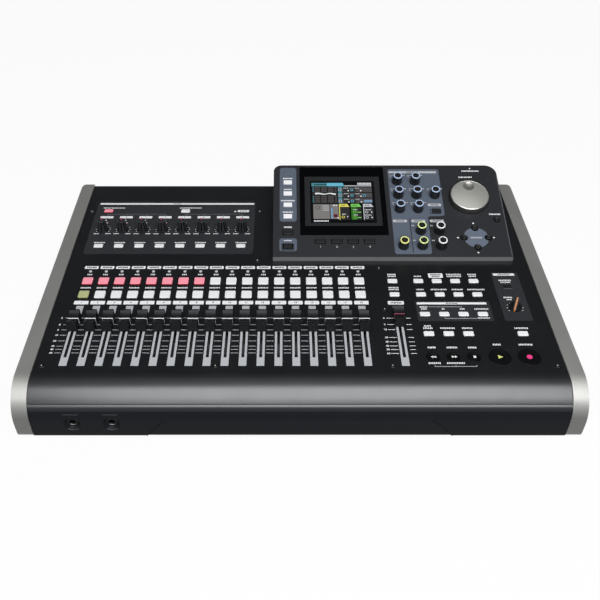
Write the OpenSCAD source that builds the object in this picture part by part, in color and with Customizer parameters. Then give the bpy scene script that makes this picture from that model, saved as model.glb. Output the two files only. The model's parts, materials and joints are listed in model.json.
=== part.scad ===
// Desktop multitrack recorder: a low console with a row of faders, square and oblong keys,
// trim knobs, a sloping display housing with endless knobs and a data wheel, and end cheeks.
// Millimetres. +X to the right, +Y to the rear, +Z up. The origin is the middle of the
// footprint, on the surface that the feet stand on.

/* [Case] */
// Width of each end cheek
cheek_w = 14; // [10:0.5:20]
// How far the end cheeks stand proud of the case
cheek_proud = 1; // [0.3:0.1:1.5]
// How far the end cheeks reach past the rear wall
cheek_overhang = 4.3; // [1:0.1:6]
// Radius of the rear top corner of the end cheeks
cheek_corner_r = 3; // [2.5:0.5:10]
// Radius of the rear outer corner of the end cheeks, seen from above
cheek_side_r = 9; // [4:0.5:12]
// Wall thickness left around the hollow of an end cheek
cheek_rim = 4; // [3:0.5:5]
// Thickness of the moulded walls, the floor and the top panel
wall = 2.5; // [2:0.1:3.5]
// Height of the top panel where it meets the nose
panel_z = 55.5; // [50:0.5:70]
// Slope of the top panel, rising to the rear
panel_slope = 1; // [0:0.5:3]
// Radius of the round front nose
nose_r = 32; // [26:1:36]
// Radius of the front below the seam
fascia_r = 38; // [32:1:46]
// Radius of the lower front edge of the end cheeks
cheek_edge_r = 9; // [5:1:12]
// Radius of the lower front edge of the case
case_edge_r = 5; // [3:0.5:12]
// Angle up the nose at which the top panel meets the bottom case
seam_angle = 36.5; // [30:0.5:55]
// Open width of that seam
seam_gap = 0.3; // [0.2:0.1:1]
// Radius of the rounded edge below that seam
seam_edge_r = 4; // [1:0.5:4]
// Depth of the shallow scoop in the front
scoop_d = 0.6; // [0.5:0.1:1.8]
// Height of the scoop's upper edge over the underside of the case
scoop_h = 25.5; // [16:0.5:30]
// Width of the scoop along its upper edge
scoop_w = 238; // [160:1:300]
// Slant of the scoop's ends, measured sideways
scoop_slant = 26; // [5:1:40]
// Radius of the scoop's upper corners
scoop_corner_r = 9; // [3:1:15]
// Height of the rubber feet
foot_h = 3; // [2:0.5:8]
// Diameter of the rubber feet
foot_d = 20; // [12:1:30]
// Distance of the feet from the edges of the floor
foot_inset = 28; // [20:1:60]

/* [Channel strips] */
// Number of channel strips
channels = 18; // [8:1:18]
// Distance from one channel strip to the next
channel_pitch = 16.45; // [15:0.05:20]
// Distance from the left edge of the panel to the first channel
side_margin = 26.5; // [22:0.5:40]
// Distance from the nose to the front end of the fader strips
front_margin = 9; // [8:0.5:30]
// Travel of a fader
fader_travel = 45; // [30:1:60]
// Length of a fader cap
cap_l = 21; // [16:0.5:26]
// Width of a fader cap
cap_w = 10; // [8:0.5:12]
// Height of a fader cap over the panel
cap_h = 11.5; // [8:0.5:14]
// Depth of the finger hollow in a fader cap
cap_hollow = 3.2; // [1:0.1:4]
// How far a fader cap draws in at each end, towards its top
cap_taper = 1; // [0.5:0.1:3]
// Length of the flat land at each end of a cap's finger hollow
cap_land = 1.6; // [0.8:0.1:2]
// Room between a fader cap at its limit and the end of its printed strip
strip_end = 7.5; // [6:0.5:15]
// Rest height of the channel faders above the bottom of their travel
fader_rest = 36.5; // [5:0.5:40]
// Rest height of the master fader above the bottom of its travel
master_rest = 43; // [5:0.5:44]
// Side of a square channel key
pad_key = 10.5; // [9:0.1:13]
// Distance from the fader strips to the row of select keys
select_gap = 15.8; // [14:0.1:24]
// Distance from the select keys to the record keys
pad_row_pitch = 20.8; // [18:0.1:26]
// Distance from the record keys to the row of small lamps
lamp_gap = 16.5; // [10:0.5:20]

/* [Input section] */
// Number of inputs
inputs = 8; // [4:1:8]
// Distance from one input to the next
input_pitch = 22.15; // [18:0.05:26]
// Distance from the small lamps to the source keys
source_gap = 42.2; // [20:0.1:50]
// Distance from the source keys to the trim knobs
trim_gap = 30.2; // [20:0.1:40]
// Distance from the trim knobs to the two phantom power keys
phantom_gap = 34.9; // [20:0.1:45]
// Distance from the phantom power keys to the rear edge of the panel
rear_margin = 52.9; // [20:0.1:70]
// Diameter of a trim knob at its foot
trim_d = 12.6; // [10:0.1:16]
// Diameter of a trim knob at its top
trim_top_d = 8; // [6:0.1:10]
// Height of a trim knob over the panel
trim_h = 13.5; // [8:0.5:18]
// Number of flutes around a trim knob
trim_flutes = 9; // [6:1:12]
// Radius of those flutes
flute_r = 1.1; // [0.8:0.1:1.2]
// Distance of the middle of a flute from the knob's face
flute_out = 0.5; // [0.3:0.1:1]

/* [Right-hand section] */
// Width of a small oblong key
key_w = 10; // [8:0.1:14]
// Length of a small oblong key
key_l = 5.7; // [5:0.1:10]
// Distance from the last channel to the master fader
master_gap = 34.4; // [26:0.1:45]
// Distance from the master fader to the first column of keys
column_gap = 26.7; // [22:0.1:40]
// Distance from one column of keys to the next
column_pitch = 18.95; // [17:0.05:25]
// Distance from the last column of keys to the monitor section
monitor_gap = 32.9; // [30:0.1:45]
// Distance from the monitor section to the right edge of the panel
right_margin = 29.5; // [20:0.1:45]
// Distance from the select row down to the locate keys
locate_gap = 29.1; // [20:0.1:40]
// Distance from the locate keys down to the punch keys
punch_gap = 27.1; // [20:0.1:40]
// Distance from the punch keys down to the transport keys
transport_gap = 29.5; // [26:0.1:40]
// Diameter of the three small transport keys
small_round_d = 11.5; // [8:0.5:14]
// How far these keys stand to the left of their columns
small_round_shift = 0.6; // [0:0.1:2]
// Distance from the last small transport key to the play key
play_gap = 24.05; // [20:0.05:28]
// Distance from the play key to the record key
record_gap = 27.4; // [26:0.1:32]
// Diameter of the play and record keys
large_round_d = 20; // [14:0.5:22]
// Distance from the record row down to the monitor key
monitor_key_gap = 9.4; // [0:0.1:12]
// Distance from the monitor key down to the monitor knob
monitor_knob_gap = 30; // [18:0.5:40]
// How far the monitor knob stands right of that key
monitor_shift = 0.9; // [0:0.1:3]
// Diameter of the monitor knob
monitor_d = 12.6; // [10:0.1:18]
// Height of the monitor knob over the panel at the rear end of its ridge
monitor_h = 8.6; // [6:0.1:12]
// Height of the front end of that ridge
monitor_low = 3; // [2.5:0.1:5]
// Clockwise turn at which the monitor knob stands
monitor_turn = 22; // [0:1:120]
// Width of the monitor knob's grip
monitor_grip = 3.4; // [2:0.1:5]
// Height of the monitor knob's skirt
monitor_skirt = 2; // [1:0.1:2.5]

/* [Display housing] */
// Distance from the last input to the housing
housing_gap = 35.35; // [30:0.05:50]
// Least distance from the housing to the right edge of the panel
housing_margin = 14.5; // [5:0.5:30]
// Distance from the small lamps to the front lip of the housing
lip_gap = 17.8; // [14:0.1:30]
// Height of the front lip over the panel
lip_h = 5; // [4:0.1:10]
// How far the front lip leans forward
lip_lean = 2.2; // [1:0.1:4]
// Height of the slanted face of the front lip
lip_bevel = 3.8; // [2:0.1:5]
// Slope of the housing against the panel
housing_tilt = 15; // [10:0.5:20]
// Corner radius at the left rear of the housing
left_corner_r = 9; // [5:0.5:20]
// Corner radius at the right rear of the housing
right_corner_r = 13; // [5:0.5:25]
// Distance from the left edge of the housing to the middle of its side keys
side_key_inset = 16; // [10:0.5:18]
// Width of a side key
side_key_w = 9.4; // [8:0.1:11]
// Distance from the front lip to the first side key
side_key_front = 55.1; // [50:0.1:60]
// Distance from one side key to the next
side_key_pitch = 16.45; // [14:0.05:17.5]
// Distance from the front lip to the menu key
menu_front = 33.4; // [30:0.1:38]
// Distance from the front lip to the home key
home_front = 13.7; // [12:0.1:18]
// Width of the home key
home_w = 11.6; // [9:0.1:14]
// Length of the home key
home_l = 7.6; // [6:0.1:10]
// Distance from the left edge of the housing to the window
window_inset = 29.6; // [26:0.1:40]
// Width of the window at each side of the display's frame
window_side = 5.35; // [3:0.05:10]
// Thickness of the display window
window_t = 1.5; // [1:0.1:1.8]
// Distance from the front lip to the window
window_front = 29.6; // [26:0.1:40]
// Distance from the window's left edge to the first soft key
soft_key_inset = 21.4; // [16:0.1:24]
// Distance from one soft key to the next
soft_key_pitch = 17.6; // [15:0.1:20]
// Distance from the window to the soft keys
soft_key_gap = 8.2; // [7:0.1:12]
// Width of a soft key
soft_key_w = 10.6; // [8:0.1:12]
// Length of a soft key
soft_key_l = 5.2; // [4:0.1:7]
// Distance from the window to the rear edge of the housing
window_rear = 2.4; // [2:0.1:15]
// Width of the display's visible frame
screen_w = 84.8; // [72:0.1:100]
// Length of the display's visible frame
screen_l = 71.6; // [68:0.1:90]
// Distance from the front edge of the window to the display's frame
screen_front = 13; // [5:0.1:14]
// Distance from the display's frame to the rear edge of the window
screen_rear = 14.4; // [8:0.1:20]
// Depth of the display's frame below the face of the window
screen_sink = 0.7; // [0.3:0.1:1.4]
// Distance from the window to the first column of endless knobs
encoder_gap = 14.7; // [10:0.1:25]
// Distance from one endless knob to the next
encoder_pitch = 20.25; // [17:0.05:22]
// Distance from the front lip to the first row of endless knobs
encoder_front = 14.6; // [12:0.1:18]
// Distance from the front lip to the first row of the tone knobs
tone_front = 65.3; // [56:0.1:68]
// How far the parameter key stands in front of that row
param_drop = 2.4; // [0:0.1:4]
// Diameter of an endless knob at its foot
encoder_d = 11.8; // [8:0.1:13]
// Diameter of an endless knob at its top
encoder_top_d = 9.2; // [7:0.1:10]
// Height of an endless knob over the housing
encoder_h = 11; // [8:0.5:14]
// Depth of the dish in an endless knob's top
encoder_dish = 0.6; // [0.3:0.1:1.5]
// Width of the rim around that dish
encoder_rim = 1.2; // [0.8:0.1:2]
// Distance from the last column of endless knobs to the data wheel
jog_gap = 37.95; // [34:0.05:45]
// Distance from the data wheel to the right edge of the housing
jog_margin = 36.75; // [34:0.05:50]
// Distance from the front lip to the middle of the data wheel
jog_front = 81; // [74:0.1:88]
// Diameter of the data wheel
jog_d = 43.6; // [30:0.1:46]
// Height of the data wheel over the housing
jog_h = 8; // [5:0.5:12]
// Height of the straight foot of the data wheel over the housing
jog_foot = 1.5; // [0.5:0.1:3]
// How far the data wheel draws in from there to its top
jog_taper = 1.4; // [0.5:0.1:3]
// Depth of the well around the data wheel
jog_well = 1.2; // [0.6:0.1:1.6]
// Rise of the data wheel's crown
jog_crown = 1.6; // [0.8:0.1:2.5]
// Radius of the finger dimple in the data wheel
dimple_r = 12; // [8:0.5:16]
// Depth of that dimple below the crown's middle height
dimple_depth = 1.9; // [1:0.1:2.5]
// Distance of that dimple from the wheel's edge
dimple_inset = 9; // [8:0.5:12]
// Distance of the data wheel's key to the right of the wheel
jog_key_side = 26.6; // [24:0.1:29]
// Distance of that key in front of the wheel
jog_key_drop = 30.2; // [26:0.1:32]
// Diameter of that key
jog_key_d = 6.4; // [5:0.1:7]
// How far the cursor cross stands to the right of the data wheel
cursor_shift = 1; // [0:0.1:3]
// Distance from the data wheel down to the middle of the cursor cross
cursor_gap = 55; // [51:0.1:56]
// Distance of the cursor keys from the middle of their cross
cursor_r = 13; // [9:0.1:16]
// Diameter of a cursor key
cursor_d = 7; // [5:0.1:9]

/* [Fits] */
// Gap around keys in their holes and below the panel
key_gap = 0.3; // [0.2:0.05:0.6]
// Gap around levers and shafts
run_gap = 0.4; // [0.3:0.05:0.8]
// Gap between mouldings
fit_gap = 0.3; // [0.2:0.05:0.6]
// Height of a key over the panel
key_h = 1; // [0.8:0.1:2]
// How far the keys of the panel stand behind the lines of their rows
key_shift = 1.1; // [0:0.1:2]
// Height of the rim of a round key over the panel
round_key_h = 0.8; // [0.6:0.1:1.5]
// Width of that rim
round_rim = 0.7; // [0.5:0.1:1]
// Depth of the dish inside it
round_dish = 0.6; // [0.3:0.1:0.8]
// Thickness of the key strips under the panel
web_t = 1.2; // [0.8:0.1:2]
// How far a key strip reaches around its keys
web_rim = 1.5; // [1:0.1:2]

/* [Inside] */
// Depth of fader and knob bodies, from the panel to their board
body_h = 9; // [7:0.5:14]
// Width of a fader body
fader_body_w = 8.4; // [7:0.1:9]
// Length of the solid end of a fader body
fader_body_end = 4; // [2:0.5:6]
// Thickness of a fader lever
lever_t = 2; // [1.4:0.1:2.4]
// Length of a fader lever, along its travel
lever_l = 7; // [4:0.5:9]
// Depth of a lever or shaft below the panel
lever_depth = 6; // [4:0.5:6.5]
// Side of a knob body
rotary_w = 9.6; // [8:0.1:12]
// Diameter of the knob shafts
shaft_d = 6; // [4:0.1:6.4]
// Thickness of the circuit boards
board_t = 1.6; // [1:0.1:2.4]
// How far a board reaches past what it carries
board_rim = 6; // [4:0.5:7]
// Diameter of the screw bosses
boss_d = 8; // [7:0.5:10]
// Diameter of a screw shank
screw_d = 2.6; // [2:0.1:3.5]
// Diameter of a screw head
screw_head_d = 4.4; // [4:0.1:6]
// Height of a screw head
screw_head_h = 1.3; // [0.8:0.1:1.5]
// Length of a screw below its head
screw_l = 12; // [8:0.5:20]
// Distance of the edge screws from the sides of the panel
screw_inset = 7.5; // [7:0.5:10]
// Distance of the screws from the row that they stand by
screw_step = 5; // [3:0.5:6]
// Distance from the master fader to the screws at its left
master_screw_gap = 12.2; // [11:0.1:14]
// Distance from the display housing to the screws at its left
housing_screw_gap = 16.3; // [12:0.1:20]
// Width of the ledge of the panel under the housing's walls
housing_ledge = 1.5; // [1:0.1:3]
// Width of the strip that joins the transport keys
round_strip = 8; // [4:0.5:10]

/* [Sockets] */
// Diameter of the hole in a jack socket
jack_d = 6.5; // [6.3:0.05:7]
// Depth of that hole
jack_depth = 28; // [15:0.5:30]
// Diameter of a jack's bush
bush_d = 10; // [9:0.1:12]
// Side of a jack's body
jack_body = 15; // [13:0.5:18]
// Height of the front sockets over the underside of the case
front_jack_z = 19; // [17:0.5:20]
// Distance of the first front socket from the left edge of the case
front_jack_inset = 37.75; // [30:0.05:60]
// Distance between the two front sockets
front_jack_pitch = 35.5; // [25:0.5:60]
// Diameter of the dish around a front socket
dish_d = 16.5; // [14:0.1:18]
// Depth of that dish
dish_depth = 3; // [1.5:0.1:4]
// Distance between the rear input sockets
rear_pitch = 30; // [28:0.5:40]
// Height of the rear sockets over the underside of the case
rear_socket_z = 27; // [20:0.5:30]
// Diameter of a rear input socket's barrel
barrel_d = 23; // [20:0.5:24]
// Width of a rear input socket's flange
flange_w = 26; // [25:0.5:28]
// Height of a rear input socket's flange
flange_l = 30; // [26:0.5:32]
// Thickness of a rear socket's flange
flange_t = 1.6; // [1:0.1:2]
// Distance of the first rear input from the left edge of the case
rear_inset = 40; // [25:1:60]
// Distance from the last rear input to the first line output
line_out_gap = 50; // [30:1:60]
// Distance between the line outputs
line_out_pitch = 22; // [18:0.5:26]
// Diameter of the hole in the power inlet
inlet_d = 5.6; // [5:0.1:6]
// Depth of the hole in the power inlet
inlet_depth = 10; // [6:0.5:14]
// Width of the power inlet's body
inlet_w = 14; // [13:0.5:18]
// Height of the power inlet's body
inlet_h = 12; // [11:0.5:18]
// Thickness left behind the holes in the sockets
socket_end = 2; // [1:0.5:4]

/* [Hidden] */
$fn = 48;
over = 1;

// Nodes
function two(i) = str(i < 10 ? "0" : "", i);
function numbered(name, n) = [for (i = [1 : n]) str(name, two(i))];
encoder_cells = [[0, 4], [1, 4], [0, 3], [1, 3], [2, 3], [0, 2], [1, 2],
                 [0, 0], [1, 1], [1, 0], [2, 1], [2, 0]];

// Rows of the panel, measured along it from the nose
strip_front = front_margin;
fader_low = strip_front + cap_l/2 + strip_end;
fader_high = fader_low + fader_travel;
fader_mid = (fader_low + fader_high)/2;
strip_rear = fader_high + cap_l/2 + strip_end;
select_t = strip_rear + select_gap;
rec_t = select_t + pad_row_pitch;
lamp_t = rec_t + lamp_gap;
source_t = lamp_t + source_gap;
trim_t = source_t + trim_gap;
phantom_t = trim_t + phantom_gap;
locate_t = select_t - locate_gap;
punch_t = locate_t - punch_gap;
transport_t = punch_t - transport_gap;
monitor_key_t = rec_t - monitor_key_gap;
monitor_t = monitor_key_t - monitor_knob_gap;
lip_t = lamp_t + lip_gap;

// Display housing, measured along its slope from the front lip
window_w = screen_w + 2*window_side;
window_l = screen_front + screen_l + screen_rear;
housing_l = window_front + window_l + window_rear;
housing_rise = lip_h + housing_l*sin(housing_tilt);
housing_rear_t = lip_t + housing_l*cos(housing_tilt) + housing_rise*tan(housing_tilt);
housing_rear_margin = 5;
flat_l = max(phantom_t + rear_margin, housing_rear_t + housing_rear_margin);

// Columns of the panel
housing_w = window_inset + window_w + encoder_gap + 2*encoder_pitch + jog_gap + jog_margin;
strips_w = (channels - 1)*channel_pitch + master_gap + column_gap + 3*column_pitch
           + monitor_gap + right_margin;
upper_w = (inputs - 1)*input_pitch + housing_gap + housing_w + housing_margin;
panel_w = side_margin + max(strips_w, upper_w);
case_x = panel_w/2;
function channel_x(i) = side_margin - case_x + i*channel_pitch;
function input_x(i) = side_margin - case_x + i*input_pitch;
master_x = channel_x(channels - 1) + master_gap;
function column_x(i) = master_x + column_gap + i*column_pitch;
monitor_x = column_x(3) + monitor_gap;
monitor_knob_x = monitor_x + monitor_shift;
housing_x = input_x(inputs - 1) + housing_gap;
window_x = housing_x + window_inset;
side_key_x = housing_x + side_key_inset;
encoder_x = window_x + window_w + encoder_gap;
jog_x = encoder_x + 2*encoder_pitch + jog_gap;
cursor_x = jog_x + cursor_shift;
cursor_v = jog_front - cursor_gap;
jog_key_x = jog_x + jog_key_side;
jog_key_v = jog_front - jog_key_drop;

// Side view of the case
body_d = cheek_proud + nose_r*(1 - sin(panel_slope)) + flat_l*cos(panel_slope) + cheek_overhang;
nose_y = cheek_proud + nose_r - body_d/2;
reach = body_d;
nose_z = panel_z - nose_r*cos(panel_slope);
case_front = nose_y - nose_r;
panel_y = nose_y - nose_r*sin(panel_slope);
case_rear = panel_y + flat_l*cos(panel_slope);
seam_z = nose_z + nose_r*sin(seam_angle);
scoop_top = foot_h + scoop_h;

// Levels below the panel
web_top = -wall - key_gap;
board_top = -wall - body_h;
slot_l = fader_travel + lever_l + 2*run_gap;
fader_body_l = slot_l + 2*fader_body_end;
knob_lift = 0.5;
shaft_hole = shaft_d + 2*run_gap;

// Keys of the right-hand section as rows of [first column, last column, row]
function_rows = [[0, 3, rec_t], [0, 3, select_t], [0, 3, locate_t], [0, 2, punch_t]];
side_key_v = [for (i = [0 : 3]) side_key_front + i*side_key_pitch];
soft_key_v = window_front - soft_key_gap;
soft_key_x = [for (i = [0 : 3]) window_x + soft_key_inset + i*soft_key_pitch];
param_x = encoder_x + 2*encoder_pitch;
param_v = tone_front - param_drop;
cursor_spots = [for (a = [0 : 90 : 270]) [cursor_x + cursor_r*cos(a), cursor_v + cursor_r*sin(a)]];
small_round_x = [for (i = [0 : 2]) column_x(i) - small_round_shift];
play_x = small_round_x[2] + play_gap;
large_round_x = [play_x, play_x + record_gap];

// Screws, on the panel
mid_channel_x = (channel_x(floor(channels/2) - 1) + channel_x(floor(channels/2)))/2;
master_screw_x = master_x - master_screw_gap;
housing_screw_x = housing_x - housing_screw_gap;
screw_spots = [
  [screw_inset - case_x, strip_front], [mid_channel_x, strip_front],
  [master_screw_x, strip_front], [case_x - screw_inset, strip_front],
  [master_screw_x, strip_rear - screw_step], [master_screw_x, lamp_t + screw_step],
  [screw_inset - case_x, phantom_t], [housing_screw_x, phantom_t], [housing_screw_x, lip_t]];

// Sockets
front_jack_x = [for (i = [0 : 1]) front_jack_inset - case_x + i*front_jack_pitch];
front_jack_height = foot_h + front_jack_z;
pad_t = dish_depth + wall;
rear_height = foot_h + rear_socket_z;
input_socket_x = [for (i = [0 : inputs - 1]) rear_inset - case_x + i*rear_pitch];
line_out_x = [for (i = [0 : 1]) input_socket_x[inputs - 1] + line_out_gap + i*line_out_pitch];
inlet_x = case_x - rear_inset;

// Colours
panel_colour = [0.12, 0.12, 0.13];
housing_colour = [0.24, 0.25, 0.27];
cheek_colour = [0.55, 0.55, 0.53];
knob_colour = [0.08, 0.08, 0.09];
key_colour = [0.94, 0.94, 0.93];
metal_colour = [0.7, 0.71, 0.72];

// Frame of the top panel: origin at the nose, Y along the panel, Z out of it
module on_panel() {
  translate([0, panel_y, panel_z]) rotate([panel_slope, 0, 0]) children();
}

// Frame of the display housing: origin at its front lip, Y up its slope, Z out of it
module on_housing() {
  on_panel() translate([0, lip_t, lip_h]) rotate([housing_tilt, 0, 0]) children();
}

// Extrudes a side view, drawn as (Y, Z), from x0 to x1
module across(x0, x1) {
  translate([x0, 0, 0]) rotate([90, 0, 90]) linear_extrude(x1 - x0) children();
}

// Side view of a case with a front of radius full_r and a lower edge of radius edge_r, drawn in by d,
// its rear edge at y = rear
module side_view(full_r, edge_r, d, rear) {
  r = full_r - d;
  e = edge_r - d;
  low = foot_h + d;
  front = case_front + d;
  middle = case_front + full_r;
  top_y = middle - r*sin(panel_slope);
  top_z = nose_z + r*cos(panel_slope);
  intersection() {
    translate([middle, nose_z]) circle(r);
    translate([front, nose_z]) square([r, r]);
  }
  translate([front, low + e]) square([r, nose_z - low - e]);
  translate([front + e, low + e]) circle(e);
  translate([front + e, low]) square([r - e, nose_z - low]);
  polygon([[top_y, low], [rear, low], [rear, top_z + (rear - top_y)*tan(panel_slope)], [top_y, top_z]]);
}

// Side view of what lies above the seam at the front and above the panel's underside
module upper_region(gap) {
  under = panel_z - wall/cos(panel_slope) + gap;
  polygon([[case_front - over, seam_z + gap], [nose_y - over, seam_z + gap], [nose_y - over, under],
           [case_rear + over, under + (case_rear + over - panel_y)*tan(panel_slope)],
           [case_rear + over, panel_z + reach], [case_front - over, panel_z + reach]]);
}

// Row of oblong keys on one strip: caps at [x, y], joined below the panel
module key_strip(spots, w, l) {
  first = spots[0];
  last = spots[len(spots) - 1];
  for (s = spots)
    translate([s[0] - w/2, s[1] - l/2, web_top - web_t]) cube([w, l, key_h - web_top + web_t]);
  translate([first[0] - w/2 - web_rim, first[1] - l/2 - web_rim, web_top - web_t])
    cube([last[0] - first[0] + w + 2*web_rim, last[1] - first[1] + l + 2*web_rim, web_t]);
}

// Holes for such a row
module key_holes(spots, w, l) {
  for (s = spots)
    translate([s[0] - w/2 - key_gap, s[1] - l/2 - key_gap, -wall - over])
      cube([w + 2*key_gap, l + 2*key_gap, wall + 2*over]);
}

// Round keys with dished tops, each with a flange below the panel
module round_keys(spots, d) {
  inner_r = d/2 - round_rim;
  dish_r = (inner_r*inner_r + round_dish*round_dish)/(2*round_dish);
  for (s = spots) translate([s[0], s[1], 0]) {
    difference() {
      translate([0, 0, web_top - web_t]) cylinder(d = d, h = round_key_h - web_top + web_t);
      translate([0, 0, round_key_h - round_dish + dish_r]) sphere(dish_r);
    }
    translate([0, 0, web_top - web_t]) cylinder(d = d + 2*web_rim, h = web_t);
  }
}

module round_holes(spots, d) {
  for (s = spots) translate([s[0], s[1], -wall - over]) cylinder(d = d, h = wall + 2*over);
}

// Spots of the key rows
rec_spots = [for (i = [0 : channels - 1]) [channel_x(i), rec_t + key_shift]];
select_spots = [for (i = [0 : channels - 1]) [channel_x(i), select_t + key_shift]];
source_spots = [for (i = [0 : inputs - 1]) [input_x(i), source_t + key_shift]];
phantom_spots = [for (i = [0, floor(inputs/2)]) [input_x(i), phantom_t + key_shift]];
function row_spots(r) = [for (i = [r[0] : r[1]]) [column_x(i), r[2] + key_shift]];
group_spots = [for (t = [select_t, rec_t]) [master_x, t + key_shift]];
monitor_key_spot = [[monitor_x, monitor_key_t + key_shift]];
safe_spot = [[monitor_x, punch_t + key_shift]];
side_key_spots = [for (v = side_key_v) [side_key_x, v]];
soft_key_spots = [for (x = soft_key_x) [x, soft_key_v]];
trim_spots = [for (i = [0 : inputs - 1]) [input_x(i), trim_t]];
encoder_spots = [for (c = encoder_cells)
  [encoder_x + c[0]*encoder_pitch,
   c[1] < 2 ? encoder_front + c[1]*encoder_pitch : tone_front + (c[1] - 2)*encoder_pitch]];
fader_columns = concat([for (i = [0 : channels - 1]) channel_x(i)], [master_x]);

// Case

module bottom_case() {
  color(panel_colour) difference() {
    union() {
      across(-case_x, case_x) difference() {
        side_view(fascia_r, case_edge_r, 0, case_rear);
        side_view(fascia_r, case_edge_r, wall, case_rear - wall);
        upper_region(-seam_gap);
        seam_corner();
      }
      for (x = [-case_x, case_x - wall]) across(x, x + wall) difference() {
        side_view(fascia_r, case_edge_r, wall - over/2, case_rear - wall/2);
        upper_region(-seam_gap);
        seam_corner();
      }
      rear_rail();
      for (s = screw_spots) boss(s);
      for (x = front_jack_x) translate([x, case_front + wall/2, front_jack_height]) rotate([-90, 0, 0])
        cylinder(d = dish_d + 2*wall, h = pad_t - wall/2);
    }
    for (s = screw_spots) on_panel() translate([s[0], s[1], -wall - screw_l])
      cylinder(d = screw_d + 2*run_gap, h = screw_l + over);
    for (x = front_jack_x) translate([x, case_front, front_jack_height]) rotate([-90, 0, 0]) {
      cylinder(d1 = dish_d, d2 = bush_d + 2*fit_gap, h = dish_depth);
      translate([0, 0, -over]) cylinder(d = bush_d + 2*fit_gap, h = pad_t + 2*over);
      translate([0, 0, -over]) cylinder(d = dish_d, h = over);
    }
    for (x = input_socket_x) rear_hole(x, barrel_d + 2*fit_gap);
    for (x = line_out_x) rear_hole(x, bush_d + 2*fit_gap);
    rear_hole(inlet_x, inlet_d + 2*wall);
    scoop();
  }
}

// What is cut from the case's corner below the seam to round it, as a side view
module seam_corner() {
  middle = case_front + fascia_r;
  top = seam_z - seam_gap;
  inner = fascia_r - seam_edge_r;
  z = top - seam_edge_r;
  y = middle - sqrt(inner*inner - (z - nose_z)*(z - nose_z));
  reach_out = (fascia_r + over)/inner;
  difference() {
    polygon([[y, z], [y, top + over], [case_front, top + over],
             [middle + (y - middle)*reach_out, nose_z + (z - nose_z)*reach_out]]);
    translate([y, z]) circle(seam_edge_r);
  }
}

// Top of the rear wall, up to the panel's underside
module rear_rail() {
  across(-case_x, case_x) intersection() {
    translate([case_rear - wall, foot_h]) square([wall, reach]);
    difference() {
      side_view(fascia_r, case_edge_r, wall/2, case_rear);
      upper_region(0);
    }
  }
}

// Screw boss from the floor to the panel's underside
module boss(s) {
  intersection() {
    on_panel() translate([s[0], s[1], -reach]) cylinder(d = boss_d, h = reach - wall);
    translate([-case_x, case_front, foot_h + wall/2]) cube([panel_w, body_d, reach]);
  }
}

module rear_hole(x, d) {
  translate([x, case_rear + over, rear_height]) rotate([90, 0, 0]) cylinder(d = d, h = wall + 2*over);
}

// Shallow recess that deepens towards the lower front edge
module scoop() {
  back = case_front + scoop_d;
  turn_z = foot_h + case_edge_r;
  intersection() {
    across(-case_x, case_x) difference() {
      polygon([[case_front - over, scoop_top], [case_front + scoop_d/10, scoop_top], [back, turn_z],
               [back + case_edge_r, turn_z], [back + case_edge_r, 0], [case_front - over, 0]]);
      translate([back + case_edge_r, turn_z]) circle(case_edge_r);
    }
    translate([0, case_front + reach/2, 0]) rotate([90, 0, 0]) linear_extrude(reach) scoop_view();
  }
}

// Front view of the scoop, with its upper corners rounded
module scoop_view() {
  lean = atan(scoop_slant/scoop_top);
  cut = scoop_corner_r*tan((90 - lean)/2);
  side_x = scoop_w/2 + cut*sin(lean);
  side_z = scoop_top - cut*cos(lean);
  polygon([[cut - scoop_w/2, scoop_top], [scoop_w/2 - cut, scoop_top], [side_x, side_z],
           [scoop_w/2 + scoop_slant, 0], [-scoop_w/2 - scoop_slant, 0], [-side_x, side_z]]);
  for (x = [cut - scoop_w/2, scoop_w/2 - cut])
    translate([x, scoop_top - scoop_corner_r]) circle(scoop_corner_r);
}

module top_panel() {
  color(panel_colour) difference() {
    across(fit_gap - case_x, case_x - fit_gap) intersection() {
      difference() {
        side_view(nose_r, cheek_edge_r, 0, case_rear);
        side_view(nose_r, cheek_edge_r, wall, case_rear + over);
      }
      upper_region(0);
    }
    on_panel() {
      for (x = fader_columns) translate([x - lever_t/2 - run_gap, fader_mid - slot_l/2, -wall - over])
        cube([lever_t + 2*run_gap, slot_l, wall + 2*over]);
      key_holes(rec_spots, pad_key, pad_key);
      key_holes(select_spots, pad_key, pad_key);
      key_holes(source_spots, key_w, key_l);
      key_holes(phantom_spots, key_w, key_l);
      for (r = function_rows) key_holes(row_spots(r), key_w, key_l);
      key_holes(group_spots, key_w, key_l);
      key_holes(monitor_key_spot, key_w, key_l);
      key_holes(safe_spot, key_w, key_l);
      round_holes([for (x = small_round_x) [x, transport_t]], small_round_d + 2*key_gap);
      round_holes([for (x = large_round_x) [x, transport_t]], large_round_d + 2*key_gap);
      round_holes(trim_spots, shaft_hole);
      round_holes([[monitor_knob_x, monitor_t]], shaft_hole);
      round_holes(screw_spots, screw_d + 2*run_gap);
      for (s = screw_spots) translate([s[0], s[1], -screw_head_h])
        cylinder(d = screw_head_d + 2*run_gap, h = screw_head_h + over);
      housing_cutout();
    }
  }
}

// Opening in the panel under the display housing
module housing_cutout() {
  rest = wall + housing_ledge;
  front = lip_t + rest;
  rear = housing_rear_t - rest - housing_ledge;
  translate([housing_x + rest, front, -wall - over])
    cube([housing_w - 2*rest, rear - front, wall + 2*over]);
}

module cheek() {
  side = case_x + cheek_w - cheek_side_r;
  rear = case_rear + cheek_overhang - cheek_side_r;
  difference() {
    across(case_x, case_x + cheek_w) cheek_view(-cheek_proud, case_rear + cheek_overhang, cheek_corner_r);
    translate([side, rear, 0]) linear_extrude(reach) difference() {
      square(cheek_side_r + over);
      circle(cheek_side_r);
    }
  }
}

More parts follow.
